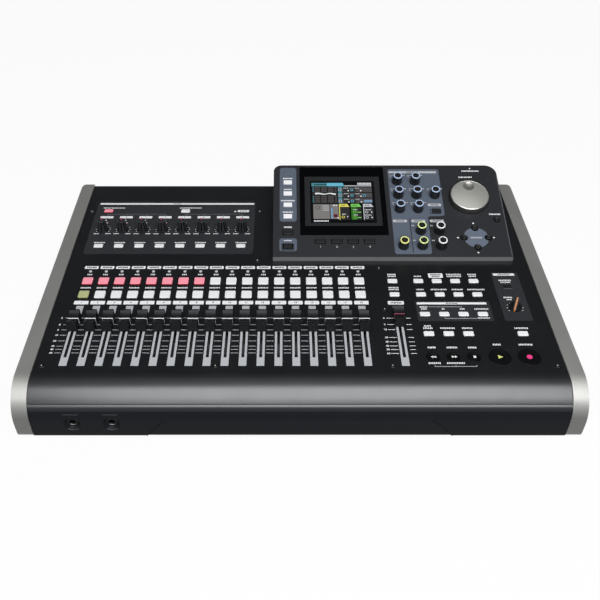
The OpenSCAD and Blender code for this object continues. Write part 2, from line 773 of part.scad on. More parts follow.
// Side view of an end cheek, with its rear top corner rounded
module cheek_view(d, rear, r) {
  top = panel_z - d + (rear - r - panel_y)*tan(panel_slope) - r*(1 - cos(panel_slope));
  difference() {
    side_view(nose_r, cheek_edge_r, d, rear);
    difference() {
      translate([rear - r, top - r]) square([r + over, r + over]);
      translate([rear - r, top - r]) circle(r);
      translate([rear - r - over, top - r - over]) square([over, r + 2*over]);
    }
  }
}

module hollow_cheek() {
  difference() {
    cheek();
    across(case_x - over, case_x + cheek_w - cheek_rim)
      cheek_view(cheek_rim, case_rear - cheek_rim, cheek_corner_r - cheek_rim/2);
  }
}

module left_cheek() {
  color(cheek_colour) mirror([1, 0, 0]) hollow_cheek();
}

module right_cheek() {
  color(cheek_colour) hollow_cheek();
}

module feet() {
  color([0.1, 0.1, 0.1])
    for (x = [-1, 1], y = [case_front + foot_inset, case_rear - foot_inset])
      translate([x*(case_x - foot_inset), y, 0]) cylinder(d = foot_d, h = foot_h);
}

module screws() {
  color(metal_colour) on_panel() for (s = screw_spots) translate([s[0], s[1], -screw_head_h]) {
    cylinder(d = screw_head_d, h = screw_head_h - fit_gap);
    translate([0, 0, -screw_l + wall]) cylinder(d = screw_d, h = screw_l - wall);
  }
}

// Display housing

// Plan of the housing with its two rear corners rounded, drawn in by d
module housing_plan(d) {
  x0 = housing_x + d;
  x1 = housing_x + housing_w - d;
  v0 = d - lip_lean;
  v1 = housing_l - d;
  a = left_corner_r - d;
  b = right_corner_r - d;
  translate([x0, v0]) square([a, v1 - a - v0]);
  translate([x0 + a, v0]) square([x1 - b - x0 - a, v1 - v0]);
  translate([x1 - b, v0]) square([b, v1 - b - v0]);
  translate([x0 + a, v1 - a]) circle(a);
  translate([x1 - b, v1 - b]) circle(b);
}

// Block of the housing, drawn in by d on all sides but the bottom
module housing_block(d) {
  intersection() {
    translate([0, 0, -reach]) linear_extrude(reach - d) housing_plan(d);
    across(housing_x, housing_x + housing_w)
      polygon([[d - lip_lean, -reach], [d - lip_lean, -lip_bevel], [d*lip_lean/lip_bevel, -d/2],
               [d*lip_lean/lip_bevel, over], [housing_l + over, over], [housing_l + over, -reach]]);
  }
}

module display_housing() {
  color(housing_colour) difference() {
    intersection() {
      on_housing() housing_block(0);
      on_panel() translate([housing_x - over, 0, 0]) cube([housing_w + 2*over, flat_l, reach]);
    }
    on_housing() {
      housing_block(wall);
      window_block(window_t, fit_gap);
      screen_block(wall + over, over, 2*fit_gap);
      key_holes(side_key_spots, side_key_w, key_l);
      key_holes([[side_key_x, menu_front]], key_w, key_l);
      key_holes([[side_key_x, home_front]], home_w, home_l);
      key_holes(soft_key_spots, soft_key_w, soft_key_l);
      key_holes([[param_x, param_v]], key_w, key_l);
      round_holes(cursor_spots, cursor_d + 2*key_gap);
      round_holes([[jog_key_x, jog_key_v]], jog_key_d + 2*key_gap);
      round_holes(encoder_spots, shaft_hole);
      round_holes([[jog_x, jog_front]], shaft_hole);
      translate([jog_x, jog_front, -jog_well]) cylinder(d = jog_d + 4*run_gap, h = jog_well + over);
    }
  }
}

// Block of the window, from depth t below the housing's face
module window_block(t, gap) {
  translate([window_x - gap, window_front - gap, -t])
    cube([window_w + 2*gap, window_l + 2*gap, t + (gap > 0 ? over : 0)]);
}

// Block of the display's frame, from depth t to height h
module screen_block(t, h, gap) {
  translate([window_x + (window_w - screen_w)/2 - gap, window_front + screen_front - gap, -t])
    cube([screen_w + 2*gap, screen_l + 2*gap, t + h]);
}

module display_window() {
  color([0.03, 0.03, 0.035]) on_housing() difference() {
    window_block(window_t, 0);
    screen_block(window_t + over, over, fit_gap);
  }
}

module lcd_module() {
  color([0.3, 0.31, 0.32]) on_housing() screen_block(-board_top, -screen_sink, 0);
}

// Inside

module circuit_boards() {
  color([0.1, 0.35, 0.2]) {
    on_panel() difference() {
      union() {
        board(channel_x(0) - board_rim, monitor_x + board_rim, fader_mid - fader_body_l/2, lamp_t);
        board(input_x(0) - board_rim, input_x(inputs - 1) + board_rim, source_t - board_rim,
              phantom_t + board_rim);
      }
      for (s = screw_spots) translate([s[0], s[1], board_top - board_t - over])
        cylinder(d = boss_d + 4*fit_gap, h = board_t + 2*over);
    }
    on_housing() board(side_key_x - board_rim, jog_x + board_rim, encoder_front - board_rim,
                       window_front + window_l - board_rim);
  }
}

module board(x0, x1, y0, y1) {
  translate([x0, y0, board_top - board_t]) cube([x1 - x0, y1 - y0, board_t]);
}

module fader_bodies() {
  color(metal_colour) on_panel() for (x = fader_columns) difference() {
    translate([x - fader_body_w/2, fader_mid - fader_body_l/2, board_top])
      cube([fader_body_w, fader_body_l, body_h]);
    translate([x - lever_t/2 - run_gap, fader_mid - slot_l/2, -lever_depth - wall - run_gap])
      cube([lever_t + 2*run_gap, slot_l, lever_depth + wall]);
  }
}

module rotary_bodies() {
  color(metal_colour) {
    on_panel() for (s = concat(trim_spots, [[monitor_knob_x, monitor_t]])) rotary_body(s);
    on_housing() for (s = concat(encoder_spots, [[jog_x, jog_front]])) rotary_body(s);
  }
}

module rotary_body(s) {
  difference() {
    translate([s[0] - rotary_w/2, s[1] - rotary_w/2, board_top]) cube([rotary_w, rotary_w, body_h]);
    translate([s[0], s[1], -lever_depth - wall - run_gap]) cylinder(d = shaft_hole, h = lever_depth + wall);
  }
}

module jack_sockets() {
  color([0.16, 0.16, 0.17]) {
    for (x = front_jack_x) translate([x, case_front + dish_depth, front_jack_height]) rotate([90, 0, 0])
      jack(pad_t - dish_depth, 0);
    for (x = line_out_x) translate([x, case_rear, rear_height]) rotate([-90, 0, 0]) jack(wall, flange_t);
    for (x = input_socket_x) translate([x, case_rear, rear_height]) rotate([-90, 0, 0]) input_socket();
    translate([inlet_x, case_rear, rear_height]) rotate([-90, 0, 0]) inlet();
  }
}

// Jack socket with its mouth along +Z: its body lies "sunk" below the face at z = 0
module jack(sunk, nut) {
  difference() {
    union() {
      translate([0, 0, -sunk - over]) cylinder(d = bush_d, h = sunk + over + nut);
      translate([-jack_body/2, -jack_body/2, -jack_depth - socket_end])
        cube([jack_body, jack_body, jack_depth + socket_end - sunk]);
      if (nut > 0) cylinder(d = bush_d + 2*wall, h = nut);
    }
    translate([0, 0, nut - jack_depth]) cylinder(d = jack_d, h = jack_depth + over);
  }
}

// Rear input socket with its flange on the rear wall
module input_socket() {
  difference() {
    union() {
      translate([-flange_w/2, -flange_l/2, 0]) cube([flange_w, flange_l, flange_t]);
      translate([0, 0, -jack_depth - socket_end])
        cylinder(d = barrel_d, h = jack_depth + socket_end + over);
    }
    translate([0, 0, flange_t - jack_depth]) cylinder(d = jack_d, h = jack_depth + over);
  }
}

module inlet() {
  difference() {
    union() {
      translate([-inlet_w/2, -inlet_h/2, -inlet_depth - socket_end])
        cube([inlet_w, inlet_h, inlet_depth + socket_end - wall]);
      translate([0, 0, -wall - over]) cylinder(d = inlet_d + 2*wall - 2*fit_gap, h = wall + over);
    }
    translate([0, 0, -inlet_depth]) cylinder(d = inlet_d, h = inlet_depth + over);
  }
}

// Keys

module rec_keys() {
  color(key_colour) on_panel() key_strip(rec_spots, pad_key, pad_key);
}

module select_keys() {
  color(key_colour) on_panel() key_strip(select_spots, pad_key, pad_key);
}

module input_keys() {
  color(key_colour) on_panel() {
    key_strip(source_spots, key_w, key_l);
    key_strip(phantom_spots, key_w, key_l);
  }
}

module function_keys() {
  color(key_colour) on_panel() {
    for (r = function_rows) key_strip(row_spots(r), key_w, key_l);
    key_strip(group_spots, key_w, key_l);
    key_strip(monitor_key_spot, key_w, key_l);
    key_strip(safe_spot, key_w, key_l);
  }
}

module display_keys() {
  color(key_colour) on_housing() {
    key_strip(side_key_spots, side_key_w, key_l);
    key_strip([[side_key_x, menu_front]], key_w, key_l);
    key_strip([[side_key_x, home_front]], home_w, home_l);
    key_strip(soft_key_spots, soft_key_w, soft_key_l);
    key_strip([[param_x, param_v]], key_w, key_l);
    round_keys(cursor_spots, cursor_d);
    round_keys([[jog_key_x, jog_key_v]], jog_key_d);
  }
}

module transport_keys() {
  color(knob_colour) on_panel() {
    round_keys([for (x = small_round_x) [x, transport_t]], small_round_d);
    round_keys([for (x = large_round_x) [x, transport_t]], large_round_d);
    translate([small_round_x[0], transport_t - round_strip/2, web_top - web_t])
      cube([large_round_x[1] - small_round_x[0], round_strip, web_t]);
  }
}

// Faders and knobs

// Fader cap and lever, with the lever's middle at t
module fader(x, t) {
  half_hollow = cap_l/2 - cap_taper - cap_land;
  hollow_r = (half_hollow*half_hollow + cap_hollow*cap_hollow)/(2*cap_hollow);
  color(knob_colour) on_panel() translate([x, t, 0]) {
    difference() {
      across(-cap_w/2, cap_w/2)
        polygon([[-cap_l/2, knob_lift], [cap_l/2, knob_lift], [cap_l/2 - cap_taper, cap_h],
                 [cap_taper - cap_l/2, cap_h]]);
      translate([-cap_w, 0, cap_h - cap_hollow + hollow_r]) rotate([0, 90, 0])
        cylinder(r = hollow_r, h = 2*cap_w, $fn = 96);
    }
    translate([-lever_t/2, -lever_l/2, -wall - lever_depth])
      cube([lever_t, lever_l, wall + lever_depth + knob_lift + over]);
  }
}

module master_fader() {
  fader(master_x, fader_low + master_rest);
}

module knob_shaft() {
  translate([0, 0, -wall - lever_depth]) cylinder(d = shaft_d, h = wall + lever_depth + knob_lift + over);
}

module trim_knob(i) {
  lean = atan((trim_d - trim_top_d)/2/(trim_h - knob_lift));
  color(knob_colour) on_panel() translate([input_x(i), trim_t, 0]) {
    difference() {
      translate([0, 0, knob_lift]) cylinder(d1 = trim_d, d2 = trim_top_d, h = trim_h - knob_lift);
      for (k = [0 : trim_flutes - 1]) rotate([0, 0, 90 + (k + 0.5)*360/trim_flutes])
        translate([trim_d/2 + flute_out, 0, 0]) rotate([0, -lean, 0])
          cylinder(r = flute_r, h = trim_h/cos(lean) + over);
    }
    knob_shaft();
  }
}

module encoder(i) {
  s = encoder_spots[i];
  color(knob_colour) on_housing() translate([s[0], s[1], 0]) {
    difference() {
      translate([0, 0, knob_lift]) cylinder(d1 = encoder_d, d2 = encoder_top_d, h = encoder_h - knob_lift);
      translate([0, 0, encoder_h - encoder_dish])
        cylinder(d = encoder_top_d - 2*encoder_rim, h = encoder_dish + over);
    }
    knob_shaft();
  }
}

module monitor_knob() {
  rise = (monitor_h - monitor_low)/2;
  color(knob_colour) on_panel() translate([monitor_knob_x, monitor_t, 0]) rotate([0, 0, -monitor_turn]) {
    translate([0, 0, knob_lift]) cylinder(d = monitor_d, h = monitor_skirt);
    intersection() {
      translate([0, 0, knob_lift]) cylinder(d = monitor_d, h = 2*monitor_h);
      across(-monitor_grip/2, monitor_grip/2)
        polygon([[-monitor_d, 0], [monitor_d, 0], [monitor_d, monitor_h + rise], [-monitor_d, monitor_low - rise]]);
    }
    knob_shaft();
  }
}

module jog_wheel() {
  top_r = jog_d/2 - jog_taper;
  crown_r = (top_r*top_r + jog_crown*jog_crown)/(2*jog_crown);
  dimple_at = jog_d/2 - dimple_inset;
  lift = jog_well - run_gap;
  color(metal_colour) on_housing() translate([jog_x, jog_front, 0]) {
    difference() {
      rotate_extrude($fn = 96) intersection() {
        polygon([[0, -lift], [jog_d/2, -lift], [jog_d/2, jog_foot], [top_r, jog_h], [0, jog_h]]);
        translate([0, jog_h - crown_r]) circle(crown_r, $fn = 360);
      }
      translate([0, dimple_at, jog_h - jog_crown/2 + dimple_r - dimple_depth]) sphere(dimple_r);
    }
    knob_shaft();
  }
}

bottom_case();
top_panel();
left_cheek();
right_cheek();
display_housing();
display_window();
lcd_module();
circuit_boards();
fader_bodies();
rotary_bodies();
jack_sockets();
feet();
screws();
rec_keys();
select_keys();
input_keys();
function_keys();
display_keys();
transport_keys();
master_fader();
monitor_knob();
jog_wheel();
for (i = [0 : channels - 1])
  fader(channel_x(i), fader_low + fader_rest);
for (i = [0 : inputs - 1])
  trim_knob(i);
for (i = [0 : len(encoder_cells) - 1])
  encoder(i);
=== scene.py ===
"""Looks of a desktop multitrack recorder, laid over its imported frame.

Places and sizes are in millimetres: MM turns them into metres. Two flat frames carry the prints:
the panel's, (right, rear) from the middle of the model, and the display housing's, (right, up its
slope) from its front lip.
"""
import json
from math import acos, cos, pi, radians, sin

import bmesh
import bpy
from mathutils import Matrix, Vector


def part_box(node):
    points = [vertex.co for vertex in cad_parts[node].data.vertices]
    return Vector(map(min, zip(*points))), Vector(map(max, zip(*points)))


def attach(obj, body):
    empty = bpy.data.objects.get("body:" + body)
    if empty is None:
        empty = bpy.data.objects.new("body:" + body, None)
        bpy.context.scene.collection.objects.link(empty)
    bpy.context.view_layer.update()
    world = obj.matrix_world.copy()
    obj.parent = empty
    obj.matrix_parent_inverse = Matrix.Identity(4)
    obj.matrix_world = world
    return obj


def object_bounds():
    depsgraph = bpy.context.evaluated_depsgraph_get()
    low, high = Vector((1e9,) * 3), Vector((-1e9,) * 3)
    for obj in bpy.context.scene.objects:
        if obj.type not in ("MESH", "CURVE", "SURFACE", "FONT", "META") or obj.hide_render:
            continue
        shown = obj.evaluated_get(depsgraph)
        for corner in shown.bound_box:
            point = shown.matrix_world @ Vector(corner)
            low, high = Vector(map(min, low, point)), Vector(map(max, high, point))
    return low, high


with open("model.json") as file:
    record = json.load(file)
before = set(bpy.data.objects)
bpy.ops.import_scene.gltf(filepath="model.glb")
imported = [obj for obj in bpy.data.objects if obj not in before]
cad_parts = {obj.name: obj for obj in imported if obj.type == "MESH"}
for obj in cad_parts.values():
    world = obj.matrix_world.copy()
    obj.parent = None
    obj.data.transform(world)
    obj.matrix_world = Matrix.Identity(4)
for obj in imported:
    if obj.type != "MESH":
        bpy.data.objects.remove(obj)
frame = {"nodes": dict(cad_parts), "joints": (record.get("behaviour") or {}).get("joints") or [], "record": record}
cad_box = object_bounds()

MM = 0.001
RIGHT = Vector((1, 0, 0))
REARWARD = Vector((0, 1, 0))
UP = Vector((0, 0, 1))
SIDE_VIEW = Matrix(((0, 1, 0), (0, 0, 1), (1, 0, 0))).transposed().to_4x4()
REAR_VIEW = Matrix(((-1, 0, 0), (0, 0, 1), (0, 1, 0))).transposed().to_4x4()

# Frames of the two faces

JOG_FRONT = 81
joint = {j["name"]: j for j in frame["joints"]}
mount = {m["name"]: m for m in frame["record"]["mounts"]}


def face_frame(origin, along):
    """Frame on a face: X to the right, Y along the face, Z out of it."""
    matrix = Matrix((RIGHT, along, RIGHT.cross(along))).transposed().to_4x4()
    matrix.translation = origin
    return matrix


def panel_frame():
    """Frame on the panel, at the middle of the model."""
    along = Vector(joint["fader_01_slide"]["axis"])
    knob = Vector(joint["trim_knob_01_turn"]["pos_m"])
    origin = knob - along*(knob.y/along.y)
    origin.x = 0
    return face_frame(origin, along)


def housing_frame():
    """Frame on the slope of the display housing, at its front lip."""
    along = Vector(joint["jog_wheel_turn"]["axis"]).cross(RIGHT)
    wheel = Vector(joint["jog_wheel_turn"]["pos_m"])
    origin = wheel - along*(JOG_FRONT*MM)
    origin.x = 0
    return face_frame(origin, along)


def node_middle(node, on):
    """Middle of a node's box, in millimetres on a face."""
    low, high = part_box(node)
    return on.inverted() @ ((low + high)/2)/MM


def joint_spot(name, on):
    """Place of a joint, in millimetres on a face."""
    return on.inverted() @ Vector(joint[name]["pos_m"])/MM


panel = panel_frame()
housing = housing_frame()

# Columns and rows, read from the frame

KEY_SHIFT = 1.1
channels = sorted(name for name in frame["nodes"] if name.startswith(("fader_0", "fader_1")))
inputs = sorted(name for name in frame["nodes"] if name.startswith("trim_knob_"))
encoders = sorted(name for name in frame["nodes"] if name.startswith("encoder_"))
channel_x = [node_middle(name, panel).x for name in channels]
input_x = [joint_spot(name + "_turn", panel).x for name in inputs]
trim_y = joint_spot("trim_knob_01_turn", panel).y
master_x = node_middle("master_fader", panel).x
monitor_spot = joint_spot("monitor_knob_turn", panel)
jog_spot = joint_spot("jog_wheel_turn", housing)
rec_y = node_middle("rec_keys", panel).y - KEY_SHIFT
select_y = node_middle("select_keys", panel).y - KEY_SHIFT

# Sizes shared with the construction

CAP_W = 10
CAP_H = 11.5
CAP_HOLLOW = 3.2
ENCODER_H = 11
ENCODER_TOP_R = 4.6
ENCODER_RIM = 1.2
TRIM_H = 13.5
TRIM_TOP_R = 4
MONITOR_H = 8.6
MONITOR_LOW = 3
MONITOR_R = 6.3
MONITOR_TURN = 22
ROUND_KEY_H = 0.8
ROUND_DISH = 0.6
JOG_EDGE_R = 20.75
JOG_EDGE_H = 6.36
DIMPLE_AT = 12
DIMPLE_H = 6.5
DIMPLE_SHADE_FADE = (5.6, 6.9)
SCREEN_SINK = 0.7

# Levels of paint over a face

PLATE_INK = 0.05
INK = 0.1
OVER_INK = 0.13

# Outlines, as lists of (x, y) in millimetres

LABEL_H = 1.9
LETTER = 1.55
LETTER_SHARE = 0.68
LINE_PITCH = 3
BRACKET_W = 0.55
ARROW_CORNERS = ((0.62, 0), (0.6, 125), (0.6, -125))


def span(x0, y0, x1, y1):
    """Rectangle between two corners."""
    return [(x0, y0), (x1, y0), (x1, y1), (x0, y1)]


def block(x, y, w, h):
    """Rectangle around a middle."""
    return span(x - w/2, y - h/2, x + w/2, y + h/2)


def pill(x, y, w, h, r, steps=4):
    """Rectangle around a middle, with round corners."""
    points = []
    for quarter, (sx, sy) in enumerate(((1, 1), (-1, 1), (-1, -1), (1, -1))):
        cx = x + sx*(w/2 - r)
        cy = y + sy*(h/2 - r)
        for i in range(steps + 1):
            a = (quarter + i/steps)*pi/2
            points.append((cx + r*cos(a), cy + r*sin(a)))
    return points


def middle(x0, y0, x1, y1):
    """Middle of a rectangle between two corners."""
    return (x0 + x1)/2, (y0 + y1)/2


def corner_pill(x0, y0, x1, y1, r):
    """Rectangle between two corners, with round corners."""
    return pill(*middle(x0, y0, x1, y1), x1 - x0, y1 - y0, r)


def disc(x, y, r, steps=32):
    """Circle around a middle."""
    return [(x + r*cos(2*pi*i/steps), y + r*sin(2*pi*i/steps)) for i in range(steps)]


def stroke(x0, y0, x1, y1, w):
    """Straight line of width w."""
    run = Vector((x1 - x0, y1 - y0)).normalized()*(w/2)
    dx, dy = run.y, -run.x
    return [(x0 + dx, y0 + dy), (x1 + dx, y1 + dy), (x1 - dx, y1 - dy), (x0 - dx, y0 - dy)]


def rounded(corners, r, steps=4):
    """Outline with its corners rounded."""
    points = []
    for i, corner in enumerate(corners):
        here = Vector(corner)
        before = here + (Vector(corners[i - 1]) - here).normalized()*r
        after = here + (Vector(corners[(i + 1) % len(corners)]) - here).normalized()*r
        for k in range(steps + 1):
            t = k/steps
            points.append(tuple(before*(1 - t)**2 + here*2*t*(1 - t) + after*t*t))
    return points


def edging(x, y, w, h, side, front, rear=0.0):
    """Lines along the edges of a rectangle around a middle, outside it."""
    x0, x1 = x - w/2, x + w/2
    y0, y1 = y - h/2, y + h/2
    lines = [span(x0 - side, y0 - front, x0, y1 + rear),
             span(x1, y0 - front, x1 + side, y1 + rear),
             span(x0, y0 - front, x1, y0)]
    if rear:
        lines.append(span(x0, y1, x1, y1 + rear))
    return lines


def ring(x, y, r, w, steps=10):
    """Ring, as short strokes."""
    points = disc(x, y, r, steps)
    return [stroke(*points[i - 1], *points[i], w) for i in range(steps)]


def arrow(x, y, size, turn):
    """Triangle that points at an angle, in degrees from +X."""
    return [(x + size*r*cos(radians(turn + a)), y + size*r*sin(radians(turn + a))) for r, a in ARROW_CORNERS]


def dial_ticks(x, y, r, length, w, first, last, count):
    """Short strokes around a knob, at angles clockwise from the rear."""
    ticks = []
    for i in range(count):
        a = radians(first + (last - first)*i/(count - 1))
        ticks.append(stroke(x + r*sin(a), y + r*cos(a), x + (r + length)*sin(a), y + (r + length)*cos(a), w))
    return ticks


def bracket(x0, x1, y, drop, ticks):
    """Line with short ticks towards the keys that it joins."""
    half = BRACKET_W/2
    low, high = sorted((y, y + drop))
    return [span(x0, y - half, x1, y + half)] + [span(x - half, low, x + half, high) for x in ticks]


def bitten_disc(x, y, r, at, bite, steps=12):
    """Disc with a round bite at each of its four ends."""
    half = acos((r*r + at*at - bite*bite)/(2*r*at))
    turn_in = acos((bite*bite + at*at - r*r)/(2*bite*at))
    points = []
    for quarter in range(4):
        start = quarter*pi/2
        for i in range(steps + 1):
            a = start + half + (pi/2 - 2*half)*i/steps
            points.append((x + r*cos(a), y + r*sin(a)))
        ahead = start + pi/2
        for i in range(1, steps):
            a = ahead + pi + turn_in - 2*turn_in*i/steps
            points.append((x + at*cos(ahead) + bite*cos(a), y + at*sin(ahead) + bite*sin(a)))
    return points


def label(x, y, w, h=LABEL_H):
    """Row of plain blocks that stands for a word."""
    count = max(2, round(w/LETTER))
    step = w/count
    return [block(x - w/2 + (i + 0.5)*step, y, LETTER_SHARE*step, h) for i in range(count)]


def word_rows(places):
    """Labels from a list of (x, y, width) or (x, y, width, height)."""
    return [letter for place in places for letter in label(*place)]


def stack(x, y, widths, pitch=LINE_PITCH):
    """Labels on lines above each other, the lowest at y."""
    return word_rows([(x, y + i*pitch, w) for i, w in enumerate(reversed(widths))])


# Meshes

FULL_TURN = (0, 360)
TURN_STEPS = 40
KNOB_STEPS = 48
SMALL_STEPS = 24
NUMERAL_WEIGHT = 0.025
NUMERAL_STEPS = 3
MERGE = 1e-7
SMOOTH_ANGLE = radians(35)


def prism(bm, matrix, outline, low, high):
    """Straight solid over an outline."""
    ends = [[bm.verts.new(matrix @ Vector((x*MM, y*MM, level*MM))) for x, y in outline]
            for level in (low, high)]
    bm.faces.new(ends[1])
    bm.faces.new(reversed(ends[0]))
    for i in range(len(outline)):
        k = (i + 1) % len(outline)
        bm.faces.new((ends[0][i], ends[0][k], ends[1][k], ends[1][i]))


def lathe(bm, matrix, x, y, profile, steps=TURN_STEPS, sweep=FULL_TURN):
    """Solid turned from a closed profile of (radius, height) around an upright axis at x, y."""
    first, last = sweep
    whole = sweep == FULL_TURN
    rings = []
    for s in range(steps if whole else steps + 1):
        a = radians(first + (last - first)*s/steps)
        rings.append([bm.verts.new(matrix @ Vector(((x + r*cos(a))*MM, (y + r*sin(a))*MM, h*MM)))
                      for r, h in profile])
    for s in range(steps):
        here, there = rings[s], rings[(s + 1) % len(rings)]
        for i in range(len(profile)):
            k = (i + 1) % len(profile)
            if profile[i][0] or profile[k][0]:
                bm.faces.new((here[i], there[i], there[k], here[k]))
    if not whole:
        bm.faces.new(rings[0])
        bm.faces.new(reversed(rings[-1]))


def numeral(bm, matrix, text, x, y, size, low):
    """Plain number, lying on a face."""
    curve = bpy.data.curves.new("numeral", "FONT")
    curve.body = text
    curve.size = size*MM
    curve.align_x = "CENTER"
    curve.align_y = "CENTER"
    curve.extrude = (INK - PLATE_INK)*MM/2
    curve.offset = NUMERAL_WEIGHT*size*MM
    curve.resolution_u = NUMERAL_STEPS
    holder = bpy.data.objects.new("numeral", curve)
    mesh = bpy.data.meshes.new_from_object(holder)
    mesh.transform(matrix @ Matrix.Translation((x*MM, y*MM, low*MM)))
    bm.from_mesh(mesh)
    bpy.data.objects.remove(holder)
    bpy.data.curves.remove(curve)
    bpy.data.meshes.remove(mesh)


def finish_piece(name, bm, material, body="chassis"):
    """Turns a bmesh into a piece that rides on a body."""
    bmesh.ops.remove_doubles(bm, verts=bm.verts, dist=MERGE)
    bmesh.ops.dissolve_degenerate(bm, edges=bm.edges, dist=MERGE)
    bmesh.ops.recalc_face_normals(bm, faces=bm.faces)
    mesh = bpy.data.meshes.new(name)
    bm.to_mesh(mesh)
    bm.free()
    mesh.polygons.foreach_set("use_smooth", [True]*len(mesh.polygons))
    mesh.set_sharp_from_angle(angle=SMOOTH_ANGLE)
    mesh.materials.append(material)
    piece = bpy.data.objects.new(name, mesh)
    bpy.context.scene.collection.objects.link(piece)
    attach(piece, body)


def print_piece(name, on, outlines, material, low=0.0, high=INK, body="chassis", slot="key_white"):
    """Flat outlines as one thin printed piece."""
    bm = bmesh.new()
    for outline in outlines:
        prism(bm, on, outline, low, high)
    finish_piece(name, bm, material, body)


def number_piece(name, on, numbers, material, low=INK):
    """Numbers as one thin printed piece: (text, x, y, size)."""
    bm = bmesh.new()
    for number in numbers:
        numeral(bm, on, *number, low)
    finish_piece(name, bm, material)


def turned_piece(name, on, spots, profile, material, body="chassis", steps=KNOB_STEPS):
    """One profile turned at each of several places, as one piece."""
    bm = bmesh.new()
    for x, y in spots:
        lathe(bm, on, x, y, profile, steps)
    finish_piece(name, bm, material, body)


# Shader nodes

BROAD_GRAIN = 24
FINE_DETAIL = 3
GLOSS_SPREAD = 0.05
KEY_ROUGH = 0.4
KEY_TOP = (0.3, 0.95)
KEY_GLOW = 0.11
PIXEL = 0.22
PIXEL_SHADE = 0.86
UNLIT = 0.2


def shaded(colour, factor):
    """Colour made lighter or darker, with its alpha."""
    return tuple(min(1, c*factor) for c in colour) + (1,)


def feed(tree, target, feeds):
    """Feeds the inputs of a node, each by a link from a socket or with a constant."""
    for key, value in feeds.items():
        if isinstance(value, bpy.types.NodeSocket):
            tree.links.new(value, target.inputs[key])
        else:
            target.inputs[key].default_value = value


def add_node(tree, kind, feeds):
    """New shader node with its inputs fed."""
    made = tree.nodes.new("ShaderNode" + kind)
    feed(tree, made, feeds)
    return made


def calculated(tree, operation, a, b):
    """Result of a sum on two numbers or sockets."""
    made = add_node(tree, "Math", {0: a, 1: b})
    made.operation = operation
    return made.outputs["Value"]


def mixed(tree, factor, a, b):
    """Colour between a and b, each a colour or a socket."""
    mix = tree.nodes.new("ShaderNodeMix")
    mix.data_type = "RGBA"
    feed(tree, mix, {"Factor": factor, 6: a, 7: b})
    return mix.outputs[2]


def object_place(tree):
    """Place on the object, as a socket."""
    return add_node(tree, "TexCoord", {}).outputs["Object"]


def facing(tree, axis, low, high):
    """Factor that rises from 0 to 1 as a surface's direction along an axis goes from low to high."""
    normal = add_node(tree, "NewGeometry", {}).outputs["Normal"]
    split = add_node(tree, "SeparateXYZ", {"Vector": normal})
    rise = add_node(tree, "MapRange", {"Value": split.outputs[axis], "From Min": low, "From Max": high})
    return rise.outputs["Result"]


def place_mask(tree, limits):
    """Factor that is 1 where every limit holds: (axis, "past" or "before", place in millimetres)."""
    split = add_node(tree, "SeparateXYZ", {"Vector": object_place(tree)})
    factor = 1.0
    for axis, side, place in limits:
        test = "GREATER_THAN" if side == "past" else "LESS_THAN"
        factor = calculated(tree, "MULTIPLY", factor, calculated(tree, test, split.outputs[axis], place*MM))
    return factor


def spot_mask(tree, spot, inner, outer):
    """Factor that is 1 up to a distance from a place and 0 past another, in millimetres."""
    apart = add_node(tree, "VectorMath", {0: object_place(tree), 1: spot})
    apart.operation = "DISTANCE"
    fall = {"Value": apart.outputs["Value"], "From Min": outer*MM, "From Max": inner*MM}
    return add_node(tree, "MapRange", fall).outputs["Result"]


# Materials

def surface(name, colour, roughness, metallic=0.0, specular=0.5, ior=1.5, grain=0.5, tint=0.12, relief=0.004):
    """Material whose fine grain varies its colour, its gloss and its relief."""
    material = bpy.data.materials.new(name)
    material.use_nodes = True
    tree = material.node_tree
    shader = tree.nodes["Principled BSDF"]
    shader.inputs["Metallic"].default_value = metallic
    shader.inputs["Specular IOR Level"].default_value = specular
    shader.inputs["IOR"].default_value = ior
    place = object_place(tree)
    fine = add_node(tree, "TexNoise", {"Vector": place, "Scale": 1/(grain*MM), "Detail": FINE_DETAIL})
    broad = add_node(tree, "TexNoise", {"Vector": place, "Scale": 1/(BROAD_GRAIN*MM)})
    gloss = add_node(tree, "MapRange", {"Value": broad.outputs["Fac"], "To Min": roughness - GLOSS_SPREAD,
                                        "To Max": roughness + GLOSS_SPREAD})
    bump = add_node(tree, "Bump", {"Height": fine.outputs["Fac"], "Distance": relief*MM})
    base = mixed(tree, fine.outputs["Fac"], shaded(colour, 1 - tint), shaded(colour, 1 + tint))
    feed(tree, shader, {"Base Color": base, "Roughness": gloss.outputs["Result"],
                        "Normal": bump.outputs["Normal"]})
    return material


def ink(name, colour, tint, specular=0.3):
    """Printing ink."""
    return surface(name, colour, 0.5, specular=specular, grain=0.8, tint=tint)


def ring_paint(name, colour, tint=0.05):
    """Paint of a knob's ring."""
    return surface(name, colour, 0.4, grain=0.6, tint=tint)


def recolour(material, factor, colour):
    """Mixes another colour into a material."""
    tree = material.node_tree
    base = tree.nodes["Principled BSDF"].inputs["Base Color"]
    plain = base.links[0].from_socket
    tree.links.new(mixed(tree, factor, plain, colour + (1,)), base)


def two_tone(material, colour, axis, low, high, limits=()):
    """Gives a material another colour where it faces along an axis, inside the limits."""
    tree = material.node_tree
    factor = calculated(tree, "MULTIPLY", facing(tree, axis, low, high), place_mask(tree, limits))
    recolour(material, factor, colour)


def key_surface(name, colour, special, side, limits, glow=0.0):
    """Key plastic: "special" inside the limits, with "side" on its flanks there; a darker side colour is painted
    shade, a lighter one a painted highlight.
    """
    material = surface(name, colour, KEY_ROUGH, grain=2, tint=0.02)
    tree = material.node_tree
    shader = tree.nodes["Principled BSDF"]
    plain = shader.inputs["Base Color"].links[0].from_socket
    tinted = mixed(tree, facing(tree, "Z", *KEY_TOP), side + (1,), special + (1,))
    inside = place_mask(tree, limits)
    feed(tree, shader, {"Base Color": mixed(tree, inside, plain, tinted)})
    if glow:
        light = mixed(tree, inside, (0, 0, 0, 1), tinted)
        feed(tree, shader, {"Emission Color": light, "Emission Strength": glow})
    return material


